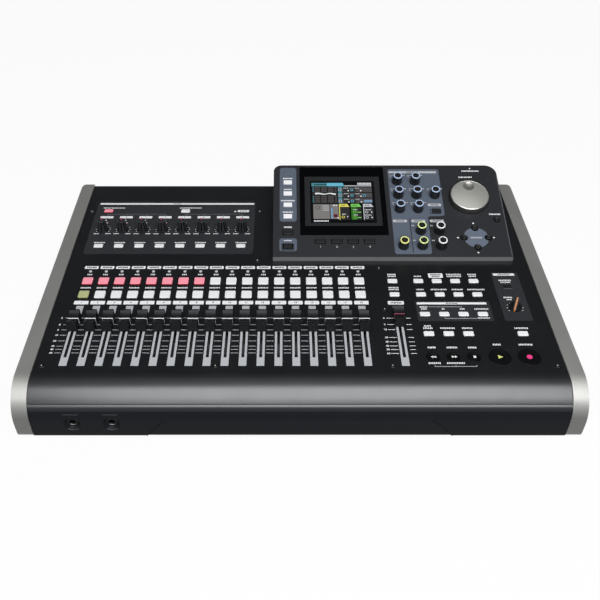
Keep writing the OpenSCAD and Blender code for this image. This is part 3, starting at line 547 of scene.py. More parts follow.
def glowing(name, colour, strength):
    """Lit picture or lamp, with the fine grid of a display."""
    unlit = tuple(c*UNLIT for c in colour)
    material = surface(name, unlit, 0.3, specular=0.08, grain=1, tint=0.05, relief=0.001)
    tree = material.node_tree
    grid = add_node(tree, "TexChecker", {"Vector": object_place(tree), "Scale": 1/(PIXEL*MM),
                                         "Color1": shaded(colour, 1), "Color2": shaded(colour, PIXEL_SHADE)})
    shader = tree.nodes["Principled BSDF"]
    feed(tree, shader, {"Emission Color": grid.outputs["Color"], "Emission Strength": strength})
    return material


WHITE = (0.92, 0.92, 0.93)
BLACK = (0.012, 0.012, 0.0135)
DEEP_BLACK = (0.003, 0.0031, 0.0034)
PINK = (0.97, 0.33, 0.41)
# painted shade: darker flank colours of the pink and olive keys
RED_SIDE_SHADE = (0.5, 0.03, 0.06)
OLIVE = (0.5, 0.52, 0.25)
OLIVE_SIDE_SHADE = (0.2, 0.22, 0.06)
# painted highlight: the lighter front flanks and bevels of black keys
KEY_FRONT_HIGHLIGHT = (0.075, 0.077, 0.08)
SEAM_HIGHLIGHT_ZONE = [("Z", "past", 31)]

panel_paint = surface("panel_paint", (0.0082, 0.009, 0.0106), 0.3, specular=1.0, ior=1.53, grain=0.45)
case_plastic = surface("case_plastic", (0.0088, 0.0095, 0.0113), 0.45, specular=0.04, grain=0.6, relief=0.012)
# painted highlight: case faces tilted upwards near the front seam are lighter, for the glint below the seam
two_tone(case_plastic, (0.06, 0.064, 0.07), "Z", 0.33, 0.47, SEAM_HIGHLIGHT_ZONE)
edge_gloss = surface("edge_gloss", (0.012, 0.013, 0.0155), 0.34, specular=1.0, grain=0.6, relief=0.006)
cheek_paint = surface("cheek_paint", (0.56, 0.553, 0.53), 0.57, metallic=0.9, grain=0.35, tint=0.1)
# painted shade: the cheeks' front-facing faces are darker, for the dimmer lower front
two_tone(cheek_paint, (0.18, 0.18, 0.174), "Y", -0.7, -0.98)
housing_plastic = surface("housing_plastic", (0.0205, 0.0218, 0.025), 0.42, relief=0.008)
# painted highlight: front-facing faces of the display housing, its lip among them, are lighter
two_tone(housing_plastic, (0.11, 0.113, 0.117), "Y", -0.5, -0.75)
window_gloss = surface("window_gloss", (0.0018, 0.002, 0.0025), 0.12, specular=0.05, grain=3, relief=0.0005)
bezel_plastic = surface("bezel_plastic", (0.021, 0.0222, 0.0245), 0.5, specular=0.15, grain=0.4)
zone_paint = surface("zone_paint", (0.028, 0.0295, 0.033), 0.5, specular=0.35, grain=0.45, relief=0.006)
blue_grey = surface("blue_grey", (0.105, 0.126, 0.165), 0.5, specular=0.3, relief=0.006)
disc_grey = surface("disc_grey", (0.128, 0.154, 0.2), 0.5, specular=0.3, relief=0.006)
white_ink = ink("white_ink", WHITE, 0.04)
pale_ink = ink("pale_ink", (0.5, 0.51, 0.53), 0.06)
grey_ink = ink("grey_ink", (0.19, 0.195, 0.21), 0.08)
faint_ink = ink("faint_ink", (0.028, 0.03, 0.034), 0.1, specular=0.1)
dark_ink = ink("dark_ink", (0.03, 0.03, 0.035), 0.1)
# painted shade: near-black ink for the wells around keys, the floors of the flutes and the ends of the front scoop
painted_shade_ink = surface("painted_shade_ink", (0.002, 0.002, 0.0022), 0.6, specular=0.05, grain=0.8, relief=0.002)
strip_paint = surface("strip_paint", (0.5, 0.51, 0.53), 0.45, grain=0.6, tint=0.05, relief=0.005)
cap_plastic = surface("cap_plastic", (0.006, 0.0064, 0.0074), 0.42, specular=0.28, grain=0.4, relief=0.01)
knob_plastic = surface("knob_plastic", (0.006, 0.0062, 0.0068), 0.34, specular=0.7, grain=0.4, relief=0.006)
skirt_gloss = surface("skirt_gloss", (0.006, 0.0062, 0.0068), 0.2, specular=1.0, grain=0.4, relief=0.001)
trim_plastic = surface("trim_plastic", (0.016, 0.0165, 0.018), 0.3, specular=0.7, grain=0.4, relief=0.006)
# painted highlight grey for the top edges of the trim knobs
knob_edge_highlight = surface("knob_edge_highlight", (0.062, 0.063, 0.07), 0.4, specular=0.4, grain=0.6)
# painted highlight colour for the right edge of the display housing
side_edge_highlight = surface("side_edge_highlight", (0.1, 0.1, 0.113), 0.4, specular=0.4, grain=0.6)
glint_grey = surface("glint_grey", (0.16, 0.165, 0.175), 0.35, metallic=0.3, relief=0.003)
# painted highlight colour for the edges of the front socket dishes
dish_edge_highlight = surface("dish_edge_highlight", (0.035, 0.036, 0.04), 0.4, specular=0.3)
dull_steel = surface("dull_steel", (0.2, 0.2, 0.205), 0.4, metallic=0.8, relief=0.005)
black_key = surface("black_key", (0.004, 0.0042, 0.0047), 0.24, specular=0.6, relief=0.003)
jog_metal = surface("jog_metal", (0.09, 0.09, 0.085), 0.3, metallic=0.7, tint=0.05, relief=0.003)
two_tone(jog_metal, (0.82, 0.81, 0.75), "Z", 0.5, 0.75)
# painted shade: the data wheel's finger dimple is darker, to damp its highlight
dimple = housing @ Vector((jog_spot.x*MM, (jog_spot.y + DIMPLE_AT)*MM, DIMPLE_H*MM))
recolour(jog_metal, spot_mask(jog_metal.node_tree, dimple, *DIMPLE_SHADE_FADE), (0.4, 0.395, 0.365))
jog_polish = surface("jog_polish", (0.85, 0.84, 0.79), 0.3, metallic=0.8, tint=0.05, relief=0.002)
rubber = surface("rubber", (0.012, 0.012, 0.012), 0.75, specular=0.25, grain=0.7, relief=0.03)
socket_plastic = surface("socket_plastic", (0.007, 0.0072, 0.008), 0.4, specular=0.12, relief=0.006)
steel = surface("steel", (0.45, 0.45, 0.45), 0.35, metallic=1.0, grain=0.6, relief=0.006)
screw_metal = surface("screw_metal", (0.26, 0.26, 0.27), 0.26, metallic=0.5, relief=0.005)
board_lacquer = surface("board_lacquer", (0.012, 0.09, 0.045), 0.35, grain=1.2, tint=0.3, relief=0.01)
red_mark = surface("red_mark", (0.34, 0.08, 0.13), 0.45, grain=0.6)
orange_mark = surface("orange_mark", (0.6, 0.25, 0.08), 0.45, grain=0.6, tint=0.06)
blue_ring = ring_paint("blue_ring", (0.44, 0.55, 0.76))
yellow_ring = ring_paint("yellow_ring", (0.9, 0.9, 0.28))
lime_ring = ring_paint("lime_ring", (0.8, 0.94, 0.4))
white_ring = ring_paint("white_ring", (0.95, 0.95, 0.95), tint=0.04)
lamp_white = glowing("lamp_white", (0.8, 0.8, 0.8), 0.55)
lamp_rose = glowing("lamp_rose", (0.6, 0.47, 0.5), 0.6)
lamp_lime = glowing("lamp_lime", (0.78, 0.84, 0.28), 0.75)
lamp_red = glowing("lamp_red", (0.95, 0.07, 0.29), 0.75)

# Key plastics, coloured by place

MONITOR_KEY_LEFT = 12
SIDE_KEY_ROW_Y = 66
ROUND_KEYS_X = 165
red_channels = [("X", "before", (channel_x[7] + channel_x[8])/2)]
olive_channel = [("X", "before", (channel_x[0] + channel_x[1])/2)]
red_input = [("X", "before", input_x[1]), ("Y", "past", trim_y)]
monitor_key = [("X", "past", monitor_spot.x - MONITOR_KEY_LEFT), ("Y", "past", monitor_spot.y)]
side_keys = [("X", "before", 0), ("Y", "past", SIDE_KEY_ROW_Y)]
front_keys = [("X", "before", ROUND_KEYS_X), ("Y", "before", SIDE_KEY_ROW_Y)]
round_keys = [("X", "past", ROUND_KEYS_X)]

rec_plastic = key_surface("rec_plastic", WHITE, PINK, RED_SIDE_SHADE, red_channels, KEY_GLOW)
select_plastic = key_surface("select_plastic", WHITE, OLIVE, OLIVE_SIDE_SHADE, olive_channel)
input_plastic = key_surface("input_plastic", WHITE, PINK, RED_SIDE_SHADE, red_input, KEY_GLOW)
function_plastic = key_surface("function_plastic", WHITE, BLACK, KEY_FRONT_HIGHLIGHT, monitor_key)
display_plastic = key_surface("display_plastic", BLACK, WHITE, WHITE, side_keys)
# painted highlight on the front-facing bevels of the black display keys
two_tone(display_plastic, KEY_FRONT_HIGHLIGHT, "Y", -0.3, -0.6, front_keys)
recolour(display_plastic, place_mask(display_plastic.node_tree, round_keys), DEEP_BLACK)

# Construction nodes, kept and finished

WELD = 10*MERGE
EDGE_STEPS = 3
KEY_EDGE = 0.9
FINISHES = [
    ("bottom_case", case_plastic, 0), ("top_panel", panel_paint, 0),
    ("left_cheek", cheek_paint, 1.2), ("right_cheek", cheek_paint, 1.2),
    ("display_housing", housing_plastic, 0.7), ("display_window", window_gloss, 0.3),
    ("lcd_module", bezel_plastic, 0.2), ("circuit_boards", board_lacquer, 0),
    ("fader_bodies", steel, 0), ("rotary_bodies", steel, 0),
    ("jack_sockets", socket_plastic, 0), ("feet", rubber, 0.8), ("screws", screw_metal, 0),
    ("rec_keys", rec_plastic, KEY_EDGE), ("select_keys", select_plastic, KEY_EDGE),
    ("input_keys", input_plastic, KEY_EDGE), ("function_keys", function_plastic, KEY_EDGE),
    ("display_keys", display_plastic, 0.7*KEY_EDGE), ("transport_keys", black_key, KEY_EDGE),
    ("master_fader", cap_plastic, 0.5), ("monitor_knob", knob_plastic, 0.4), ("jog_wheel", jog_metal, 0)]
FINISHES += [(name, cap_plastic, 0.5) for name in channels]
FINISHES += [(name, trim_plastic, 0.35) for name in inputs]
FINISHES += [(name, knob_plastic, 0.3) for name in encoders]


def dress(node, material, bevel):
    """Gives a node its material and, where asked, round edges."""
    part = frame["nodes"][node]
    part.material_slots[0].material = material
    if bevel:
        weld = part.modifiers.new("weld", "WELD")
        weld.merge_threshold = WELD
        edges = part.modifiers.new("edges", "BEVEL")
        edges.width = bevel*MM
        edges.segments = EDGE_STEPS
        edges.limit_method = "ANGLE"
        edges.angle_limit = SMOOTH_ANGLE
        normals = part.modifiers.new("normals", "WEIGHTED_NORMAL")
        normals.keep_sharp = True


for finish in FINISHES:
    dress(*finish)

# Screw heads

SCREW_NEAR = 8
SCREW_RIM = ((0.8, 0.02), (2.2, 0.02), (2.1, 0.35), (1.4, 0.7), (0.8, 0.7))
SCREW_SOCKET = ((0, 0.02), (0.8, 0.02), (0.8, 0.7), (0.3, 0.1), (0, 0.1))


def screw_spots():
    """Middles of the panel's screws, in millimetres on the panel."""
    part = frame["nodes"]["screws"]
    to_panel = panel.inverted() @ part.matrix_world
    groups = []
    for vertex in part.data.vertices:
        place = to_panel @ vertex.co/MM
        group = next((g for g in groups if (g[0] - place).xy.length < SCREW_NEAR), None)
        if group is None:
            groups.append([place])
        else:
            group.append(place)
    return [(sum(group, Vector())/len(group)).xy for group in groups]


def screw_piece(name, profile, material):
    """Rim or drive socket of all screw heads."""
    turned_piece(name, panel, screw_spots(), profile, material, steps=SMALL_STEPS)


screw_piece("screw_rims", SCREW_RIM, knob_plastic)
screw_piece("screw_sockets", SCREW_SOCKET, steel)

# Front edge

SEAM_EDGE = (-161.64, 38.24)
SEAM_EDGE_R = 4
SEAM_ARC = (29, 80)
SEAM_STEPS = 12
SEAM_HALF = 242.8
FRONT_JACKS = ("front_jack_1", "front_jack_2")
FRONT_LABEL_DZ = 11.6
FRONT_LABEL = (14, 1.8)
# painted shade lines at the ends of the front scoop
SCOOP_LINE = ((139.7, 5.8), (134.6, 12.1), (129.5, 18.5), (127.1, 21), (124.7, 23), (122, 24.6), (119, 25.5))
SCOOP_LINE_W = 0.7
# steel lip drawn only on its lower arc, as a painted highlight; the dish glints below are painted highlights
SOCKET_LIP = ((3.3, 0.02), (4.3, 0.02), (4.2, 0.3), (3.5, 0.3))
SOCKET_LIP_SWEEP = (228, 312)
DISH_GLINTS = ((((7.5, 2.35), (8.1, 2.93), (8.25, 2.9), (7.65, 2.3)), (232, 308)),
               (((6.1, 1.05), (6.4, 1.35), (6.55, 1.3), (6.25, 1)), (245, 300)))
GLINT_STEPS = 16


def seam_edge():
    """Glossy skin on the round edge below the front seam."""
    y, z = SEAM_EDGE
    first, last = SEAM_ARC
    turns = [radians(first + (last - first)*i/SEAM_STEPS) for i in range(SEAM_STEPS + 1)]
    radii = (SEAM_EDGE_R + INK, SEAM_EDGE_R - INK)
    outer, inner = ([(y - r*cos(a), z + r*sin(a)) for a in turns] for r in radii)
    print_piece("seam_edge", SIDE_VIEW, [outer + inner[::-1]], edge_gloss, -SEAM_HALF, SEAM_HALF,
                slot="panel_black")


def front_prism(bm, outline):
    """Small print on the front of the case, from an outline seen from the front."""
    case = frame["nodes"]["bottom_case"]
    to_case = case.matrix_world.inverted()
    x = sum(p[0] for p in outline)/len(outline)
    z = sum(p[1] for p in outline)/len(outline)
    start = Vector((x*MM, cad_box[0].y - 1, z*MM))
    hit, place, normal, index = case.ray_cast(to_case @ start, to_case.to_3x3() @ REARWARD)
    on = face_frame(case.matrix_world @ place, (case.matrix_world.to_3x3() @ normal).cross(RIGHT))
    prism(bm, on, [(px - x, pz - z) for px, pz in outline], 0, INK)


def front_labels():
    """Faint words over the front sockets."""
    bm = bmesh.new()
    for name in FRONT_JACKS:
        spot = Vector(mount[name]["pos_m"])/MM
        for outline in label(spot.x, spot.z + FRONT_LABEL_DZ, *FRONT_LABEL):
            front_prism(bm, outline)
    finish_piece("front_labels", bm, faint_ink)


def scoop_shade_lines():
    """Painted shade: fine dark lines at the two ends of the front scoop."""
    bm = bmesh.new()
    for side in (-1, 1):
        points = [(side*x, z) for x, z in SCOOP_LINE]
        for a, b in zip(points, points[1:]):
            front_prism(bm, stroke(*a, *b, SCOOP_LINE_W))
    finish_piece("scoop_shade_lines", bm, painted_shade_ink)


def socket_metal():
    """Metal lip below each front socket's mouth, drawn only on its lower arc as a painted highlight, and painted
    highlights on the edges of its dish.
    """
    face_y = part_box("jack_sockets")[0].y
    metal = bmesh.new()
    edges = bmesh.new()
    for name in FRONT_JACKS:
        spot = Vector(mount[name]["pos_m"])
        on = face_frame(Vector((spot.x, face_y, spot.z)), UP)
        lathe(metal, on, 0, 0, SOCKET_LIP, GLINT_STEPS, SOCKET_LIP_SWEEP)
        for profile, sweep in DISH_GLINTS:
            lathe(edges, on, 0, 0, profile, GLINT_STEPS, sweep)
    finish_piece("socket_lip_highlights", metal, dull_steel)
    finish_piece("socket_dish_highlights", edges, dish_edge_highlight)


seam_edge()
front_labels()
scoop_shade_lines()
socket_metal()

# Channel strips

STRIP_FRONT = -128.5
STRIP_REAR = -47.6
STRIP_W = 7.2
SLOT_W = 2.8
SLOT_END = 10.6
SCALE_Y = (-65, -74.5, -81.7, -88.9, -96.5, -103.4, -107.7, -112.2)
SCALE_NUMBERS = ("6", "0", "5", "10", "20", "30", "40", "60")
SCALE_W = 0.55
SCALE_GAP = 1.2
SCALE_LEFT = 11
SCALE_NUMBER_AT = 14.3
SCALE_SIZE = 3
LAMP_DY = 16.5
LAMP_R = 1.5
LENS = ((0, 0), (1, 0), (1, 0.35), (0.8, 0.6), (0.45, 0.75), (0, 0.8))
PILL_R = 0.8
MUTE_DY = 23
MUTE_PILL = (14.4, 4.5)
MUTE_LABEL = (10.4, 2.3)
NUMBER_Y = -42.8
NUMBER_PILL = (14.4, 5.2)
NUMBER_SIZE = 3.2
REC_LABEL = (11.5, 5.3)
SELECT_LABEL = (11.4, 10.8)


def dark_print(name, on, outlines):
    """Dark words over white bars and pills."""
    print_piece(name, on, outlines, dark_ink, low=INK, high=OVER_INK)


def lamp_row(name, spots, r, material):
    """Row of small lamps with domed lenses, on the panel."""
    turned_piece(name, panel, spots, [(r*share, h) for share, h in LENS], material, steps=SMALL_STEPS)


def strip_rails(x):
    """Printed plate of a fader: two rails beside the slot and a bar at each end."""
    half = STRIP_W/2
    slot = SLOT_W/2
    front = STRIP_FRONT + SLOT_END
    rear = STRIP_REAR - SLOT_END
    return [span(x - half, STRIP_FRONT, x + half, front), span(x - half, rear, x + half, STRIP_REAR),
            span(x - half, front, x - slot, rear), span(x + slot, front, x + half, rear)]


def scale_lines(x0, x1, rows):
    """Level lines of a fader's scale."""
    return [span(x0, y - SCALE_W/2, x1, y + SCALE_W/2) for y in rows]


def scale_numbers(x, texts, rows):
    """Numbers of a fader's scale, to the left of it."""
    return [(text, x - SCALE_NUMBER_AT, y, SCALE_SIZE) for text, y in zip(texts, rows)]


def channel_prints():
    """Rails, scales, pills and words of the channel strips."""
    rails = []
    lines = []
    pills = []
    pitch = channel_x[1] - channel_x[0]
    rec_dy, rec_w = REC_LABEL
    select_dy, select_w = SELECT_LABEL
    for i, x in enumerate(channel_x):
        rails += strip_rails(x)
        pills += [pill(x, rec_y + MUTE_DY, *MUTE_PILL, PILL_R), pill(x, NUMBER_Y, *NUMBER_PILL, PILL_R)]
        left = x - pitch + STRIP_W/2 + SCALE_GAP if i else x - SCALE_LEFT
        lines += scale_lines(left, x - STRIP_W/2 - SCALE_GAP, SCALE_Y)
    words = word_rows([(x, rec_y + rec_dy, rec_w) for x in channel_x])
    words += word_rows([(x, select_y + select_dy, select_w) for x in channel_x])
    mutes = word_rows([(x, rec_y + MUTE_DY, *MUTE_LABEL) for x in channel_x])
    numbers = [(str(i + 1), x, NUMBER_Y, NUMBER_SIZE) for i, x in enumerate(channel_x)]
    scale = scale_numbers(channel_x[0], SCALE_NUMBERS, SCALE_Y)
    print_piece("channel_rails", panel, rails, strip_paint)
    print_piece("channel_scale_lines", panel, lines, pale_ink)
    print_piece("channel_pills", panel, pills, white_ink)
    print_piece("channel_labels", panel, words, white_ink)
    dark_print("mute_labels", panel, mutes)
    number_piece("channel_numbers", panel, numbers, dark_ink)
    number_piece("channel_scale_numbers", panel, scale, white_ink, PLATE_INK)


channel_prints()
lamp_row("channel_lamps", [(x, rec_y + LAMP_DY) for x in channel_x], LAMP_R, lamp_white)

# Faders

LINE_W = 1.15
LINE_SHIFT = 0.3
LINE_OUT = 0.1
LINE_LOW = 1.5


def fader_line(node, material):
    """Line over the hollow of a cap and down its two sides."""
    cap = node_middle(node, panel)
    y = cap.y - LINE_SHIFT
    top = CAP_H - CAP_HOLLOW
    bm = bmesh.new()
    prism(bm, panel, block(cap.x, y, CAP_W + 2*LINE_OUT, LINE_W), top, top + LINE_OUT)
    for side in (-1, 1):
        edge = cap.x + side*(CAP_W + LINE_OUT)/2
        prism(bm, panel, block(edge, y, LINE_OUT, LINE_W), LINE_LOW, top)
    finish_piece(node + "_line", bm, material, node)


for name in channels:
    fader_line(name, white_ink)
fader_line("master_fader", red_mark)

# Master fader

MASTER_TICKS = (-65.4, -74.2, -81.2, -91.9, -97.7, -103.1, -107.9, -112.9)
MASTER_NUMBERS = ("0", "5", "10", "20", "30", "40", "50", "60")
MASTER_LEFT = (-11.8, -4.7)
MASTER_RIGHT = (6.5, 11.8)
MASTER_PILL_Y = -43.1
MASTER_PILL = (16, 5)
MASTER_LABEL_W = 11


def master_prints():
    """Rails, scale and name plate of the stereo fader."""
    lines = []
    for x0, x1 in (MASTER_LEFT, MASTER_RIGHT):
        lines += scale_lines(master_x + x0, master_x + x1, MASTER_TICKS)
    numbers = scale_numbers(master_x, MASTER_NUMBERS, MASTER_TICKS)
    print_piece("master_rails", panel, strip_rails(master_x), strip_paint)
    print_piece("master_scale_lines", panel, lines, white_ink)
    print_piece("master_pill", panel, [pill(master_x, MASTER_PILL_Y, *MASTER_PILL, PILL_R)], white_ink)
    dark_print("master_label", panel, label(master_x, MASTER_PILL_Y, MASTER_LABEL_W))
    number_piece("master_scale_numbers", panel, numbers, white_ink, PLATE_INK)


master_prints()

# Input section

ZONE = (-231, 34.8, -48, 133.1, 3)
ZONE_BAR = (-228.7, 126.9, -49.3, 129.9)
ZONE_BAR_LABEL = (*middle(*ZONE_BAR), 9, 1.4)
PHANTOM_DX = 5.4
PHANTOM_LABEL = (120.1, 25.5, 1.7)
BRACKET_Y = 107.9
BRACKET_DROP = 2
LETTER_Y = 101.9
LETTER_PILL = (14.7, 4.2)
LETTER_SIZE = 3
SMALL_PILL_R = 0.7
SOURCE_LABEL = (54.8, 12.4)
END_LABEL_DX = 6.5
END_LABEL_DY = 7
END_LABEL = (6, 1.5)
TRIM_TICK = (7.2, 1, 0.65)
TRIM_TICKS = (-118, 118, 9)
TRIM_RING_DY = 0.86
TRIM_LAMPS = (("level_lamps", lamp_white, 0.15, 17.9, 0.8), ("peak_lamps", lamp_rose, 2.2, 13.1, 1))
SIGNAL_PILL = (-61.5, 114, 12.9, 4)
SIGNAL_LABEL = (*SIGNAL_PILL[:2], 8.5, 1.5)
SIGNAL_LAMP = (-70.8, 112.9)
SIGNAL_LAMP_R = 1.3
TRIM_SKIRT = ((5.3, 0.5), (6.4, 0.5), (6.4, 1.0), (6.3, 1.4), (6.15, 1.9), (6.0, 2.8), (5.3, 2.8))
# painted highlight ring on the top edge of a trim knob
TRIM_EDGE = ((3.5, 13.4), (4.02, 13.2), (4.08, 13.35), (3.85, 13.58), (3.5, 13.58))
TRIM_LIFT = 0.5
TRIM_FLUTES = 9
FLUTE_FLOOR_R = 5.72
FLUTE_LEAN = 2.3
FLUTE_HALF = 0.5
FLUTE_ENDS = (2.4, 0.3)
WEDGE_TIP_Y = TRIM_TOP_R - 0.25
TRIM_WEDGE = ((-0.45, -0.3), (0.45, -0.3), (1.3, WEDGE_TIP_Y), (0, TRIM_TOP_R), (-1.3, WEDGE_TIP_Y))
WEDGE_LEVELS = (TRIM_H - 0.05, TRIM_H + 0.12)


def input_prints():
    """Zone, bar, pills, words and dial marks of the input section."""
    white = [span(*ZONE_BAR), pill(*SIGNAL_PILL, SMALL_PILL_R)]
    words = []
    grey = []
    end_y = trim_y - END_LABEL_DY
    phantom_y, phantom_w, phantom_h = PHANTOM_LABEL
    for x in input_x:
        white.append(pill(x, LETTER_Y, *LETTER_PILL, SMALL_PILL_R))
        white += dial_ticks(x, trim_y + TRIM_RING_DY, *TRIM_TICK, *TRIM_TICKS)
        words.append((x, *SOURCE_LABEL))
        words += [(x + dx, end_y, *END_LABEL) for dx in (-END_LABEL_DX, END_LABEL_DX)]
    half = len(input_x)//2
    for group in (input_x[:half], input_x[half:]):
        words.append((group[0] + PHANTOM_DX, phantom_y, phantom_w, phantom_h))
        grey += bracket(group[0], group[-1], BRACKET_Y, -BRACKET_DROP, group)
    numbers = [(str(i + 1), x, LETTER_Y, LETTER_SIZE) for i, x in enumerate(input_x)]
    print_piece("input_zone", panel, [corner_pill(*ZONE)], zone_paint, high=PLATE_INK, slot="panel_black")
    print_piece("input_prints", panel, white + word_rows(words), white_ink)
    print_piece("input_brackets", panel, grey, grey_ink)
    dark_print("input_dark_labels", panel, word_rows([ZONE_BAR_LABEL, SIGNAL_LABEL]))
    number_piece("input_numbers", panel, numbers, dark_ink)


def trim_flute_shades(node, x):
    """Painted shade: dark floors of a trim knob's flutes."""
    rise = TRIM_H - TRIM_LIFT
    low, below_top = FLUTE_ENDS
    bm = bmesh.new()
    for k in range(TRIM_FLUTES):
        turn = pi/2 + (k + 0.5)*2*pi/TRIM_FLUTES
        out = Vector((cos(turn), sin(turn), 0))
        across = Vector((-sin(turn), cos(turn), 0))
        up = (UP*rise - out*FLUTE_LEAN).normalized()
        on = Matrix((across, up, across.cross(up))).transposed().to_4x4()
        on.translation = (Vector((x, trim_y, TRIM_LIFT)) + out*FLUTE_FLOOR_R)*MM
        prism(bm, panel @ on, span(-FLUTE_HALF, low, FLUTE_HALF, rise - below_top), -INK, INK)
    finish_piece(node + "_flutes", bm, painted_shade_ink, node)


def trim_details(node, x):
    """Red pointer, glossy foot, painted shade in the flutes and a painted highlight on the top edge of a trim
    knob.
    """
    spot = [(x, trim_y)]
    wedge = [(x + dx, trim_y + dy) for dx, dy in TRIM_WEDGE]
    print_piece(node + "_pointer", panel, [wedge], red_mark, *WEDGE_LEVELS, node)
    turned_piece(node + "_skirt", panel, spot, TRIM_SKIRT, skirt_gloss, node)
    trim_flute_shades(node, x)
    turned_piece(node + "_edge", panel, spot, TRIM_EDGE, knob_edge_highlight, node)


input_prints()
lamp_row("signal_lamp", [SIGNAL_LAMP], SIGNAL_LAMP_R, lamp_white)
for name, x in zip(inputs, input_x):
    trim_details(name, x)
for name, material, dx, dy, r in TRIM_LAMPS:
    lamp_row(name, [(x + dx, trim_y + dy) for x in input_x], r, material)

# Right-hand section

COLUMN_FIRST = 26.7
COLUMN_PITCH = 18.95
COLUMN_X = [master_x + COLUMN_FIRST + COLUMN_PITCH*i for i in range(4)]
LOCATE_Y = -60.9
PUNCH_Y = -88
TRANSPORT_Y = -117.5
MONITOR_KEY_Y = -20.4
MONITOR_SHIFT = 0.9
SAFE_X = monitor_spot.x - MONITOR_SHIFT
LABEL_DY = 8.7
RIGHT_ZONES = ((116.5, -69.4, 190.4, -40.4), (201, -69, 228.5, 3.7))
RIGHT_ZONE_R = 1.2
LOCATE_BAR = (118, -45.5, 187.3, -42.4)
MONITOR_BAR = (203, -1.2, 225.2, 2.2)
RIGHT_BAR_LABELS = ((*middle(*LOCATE_BAR), 12, 1.6), (*middle(*MONITOR_BAR), 13, 1.7))
TAG = (15, 7)
TAG_DY = 9.9
TAG_WORDS_DY = TAG_DY - 1.35
TAG_WORDS = (11, 8.5)
TAG_PITCH = 2.7
COLUMN_WORDS = ((rec_y, [master_x] + COLUMN_X, [(9, 9), (8,), (), (15.8, 15.4), (9.4, 8)]),
                (select_y, [master_x] + COLUMN_X, [(10.6, 10.6), (7.8,), (16.4,), (11.6,), (17.9,)]),
                (LOCATE_Y, COLUMN_X, [(8, 6), (3.2,), (5.2,), (14.2,)]),
                (PUNCH_Y, COLUMN_X, [(7, 9.4), (14.4,), (10.4,)]),
                (PUNCH_Y, [SAFE_X], [(13.6,)]),
                (MONITOR_KEY_Y, [SAFE_X - 0.5], [(13, 10.5)]))
RIGHT_WORDS = ((monitor_spot.x - 3.9, monitor_spot.y + 15.3, 9),
               (monitor_spot.x - 3.3, monitor_spot.y + 12.1, 5.5),
               (COLUMN_X[3], LOCATE_Y - 4.3, 12.5, 1.6))
MONITOR_TICK = (7.2, 1.1, 0.6)
MONITOR_TICKS = (-120, 120, 9)
RIGHT_BRACKETS = ((COLUMN_X[0] + 5, COLUMN_X[2], LOCATE_Y + 11.9, -1.4, COLUMN_X[1:3]),
                  (COLUMN_X[1], COLUMN_X[3] - 7, LOCATE_Y - 4.8, 1.4, COLUMN_X[1:3]),
                  (COLUMN_X[0] - 0.6, COLUMN_X[2], TRANSPORT_Y - 11.8, 1.6, COLUMN_X[:3]))


def right_prints():
    """Zones, bars, brackets and words of the keys on the right."""
    zones = [corner_pill(*zone, RIGHT_ZONE_R) for zone in RIGHT_ZONES]
    white = [span(*LOCATE_BAR), span(*MONITOR_BAR)] + word_rows(RIGHT_WORDS)
    white.append(pill(COLUMN_X[1], rec_y + TAG_DY, *TAG, PILL_R))
    white += dial_ticks(monitor_spot.x, monitor_spot.y, *MONITOR_TICK, *MONITOR_TICKS)
    for y, columns, widths in COLUMN_WORDS:
        for x, lines in zip(columns, widths):
            white += stack(x, y + LABEL_DY, lines)
    dark_words = stack(COLUMN_X[1], rec_y + TAG_WORDS_DY, TAG_WORDS, TAG_PITCH) + word_rows(RIGHT_BAR_LABELS)
    brackets = [line for place in RIGHT_BRACKETS for line in bracket(*place)]
    print_piece("right_zones", panel, zones, zone_paint, high=PLATE_INK, slot="panel_black")
    print_piece("right_prints", panel, white, white_ink)
    print_piece("right_brackets", panel, brackets, pale_ink)
    dark_print("right_dark_labels", panel, dark_words)


right_prints()

# Transport keys

SMALL_X = [x - 0.6 for x in COLUMN_X[:3]]
PLAY_X = SMALL_X[2] + 24.05
RECORD_X = PLAY_X + 27.4
SMALL_R = 5.75
LARGE_R = 10
SYMBOL_LOW = ROUND_KEY_H - ROUND_DISH - 0.05
SYMBOL_HIGH = ROUND_KEY_H - ROUND_DISH + 0.3
SYMBOL_DX = 0.8
WIND_HALF = 1.4
WIND_SIZE = 2.7
STOP_SIZE = 2.5
PLAY_SIZE = 4.5
RECORD_DOT = ((0, SYMBOL_LOW), (2.6, SYMBOL_LOW), (2.6, SYMBOL_HIGH), (1.9, SYMBOL_HIGH + 0.15),
              (0, SYMBOL_HIGH + 0.2))
COLLAR = ((0.3, 0), (0.6, 0), (0.5, 0.3), (0.35, 0.3))
KEY_WORDS_H = 2.1
SMALL_WORDS_Y = TRANSPORT_Y + 12.3
LARGE_WORDS_Y = TRANSPORT_Y + 16.1
FRONT_WORDS_Y = TRANSPORT_Y - 7.6
TRANSPORT_WORDS = [(x + 0.6, SMALL_WORDS_Y, w, KEY_WORDS_H) for x, w in zip(SMALL_X, (7.8, 10.4, 8.2))]
TRANSPORT_WORDS += [(PLAY_X + 0.3, LARGE_WORDS_Y, 7.8, KEY_WORDS_H),
                    (RECORD_X, LARGE_WORDS_Y, 13.4, KEY_WORDS_H),
                    (SMALL_X[0] + 0.5, FRONT_WORDS_Y, 11.6), (SMALL_X[1] + 1, FRONT_WORDS_Y, 17)]


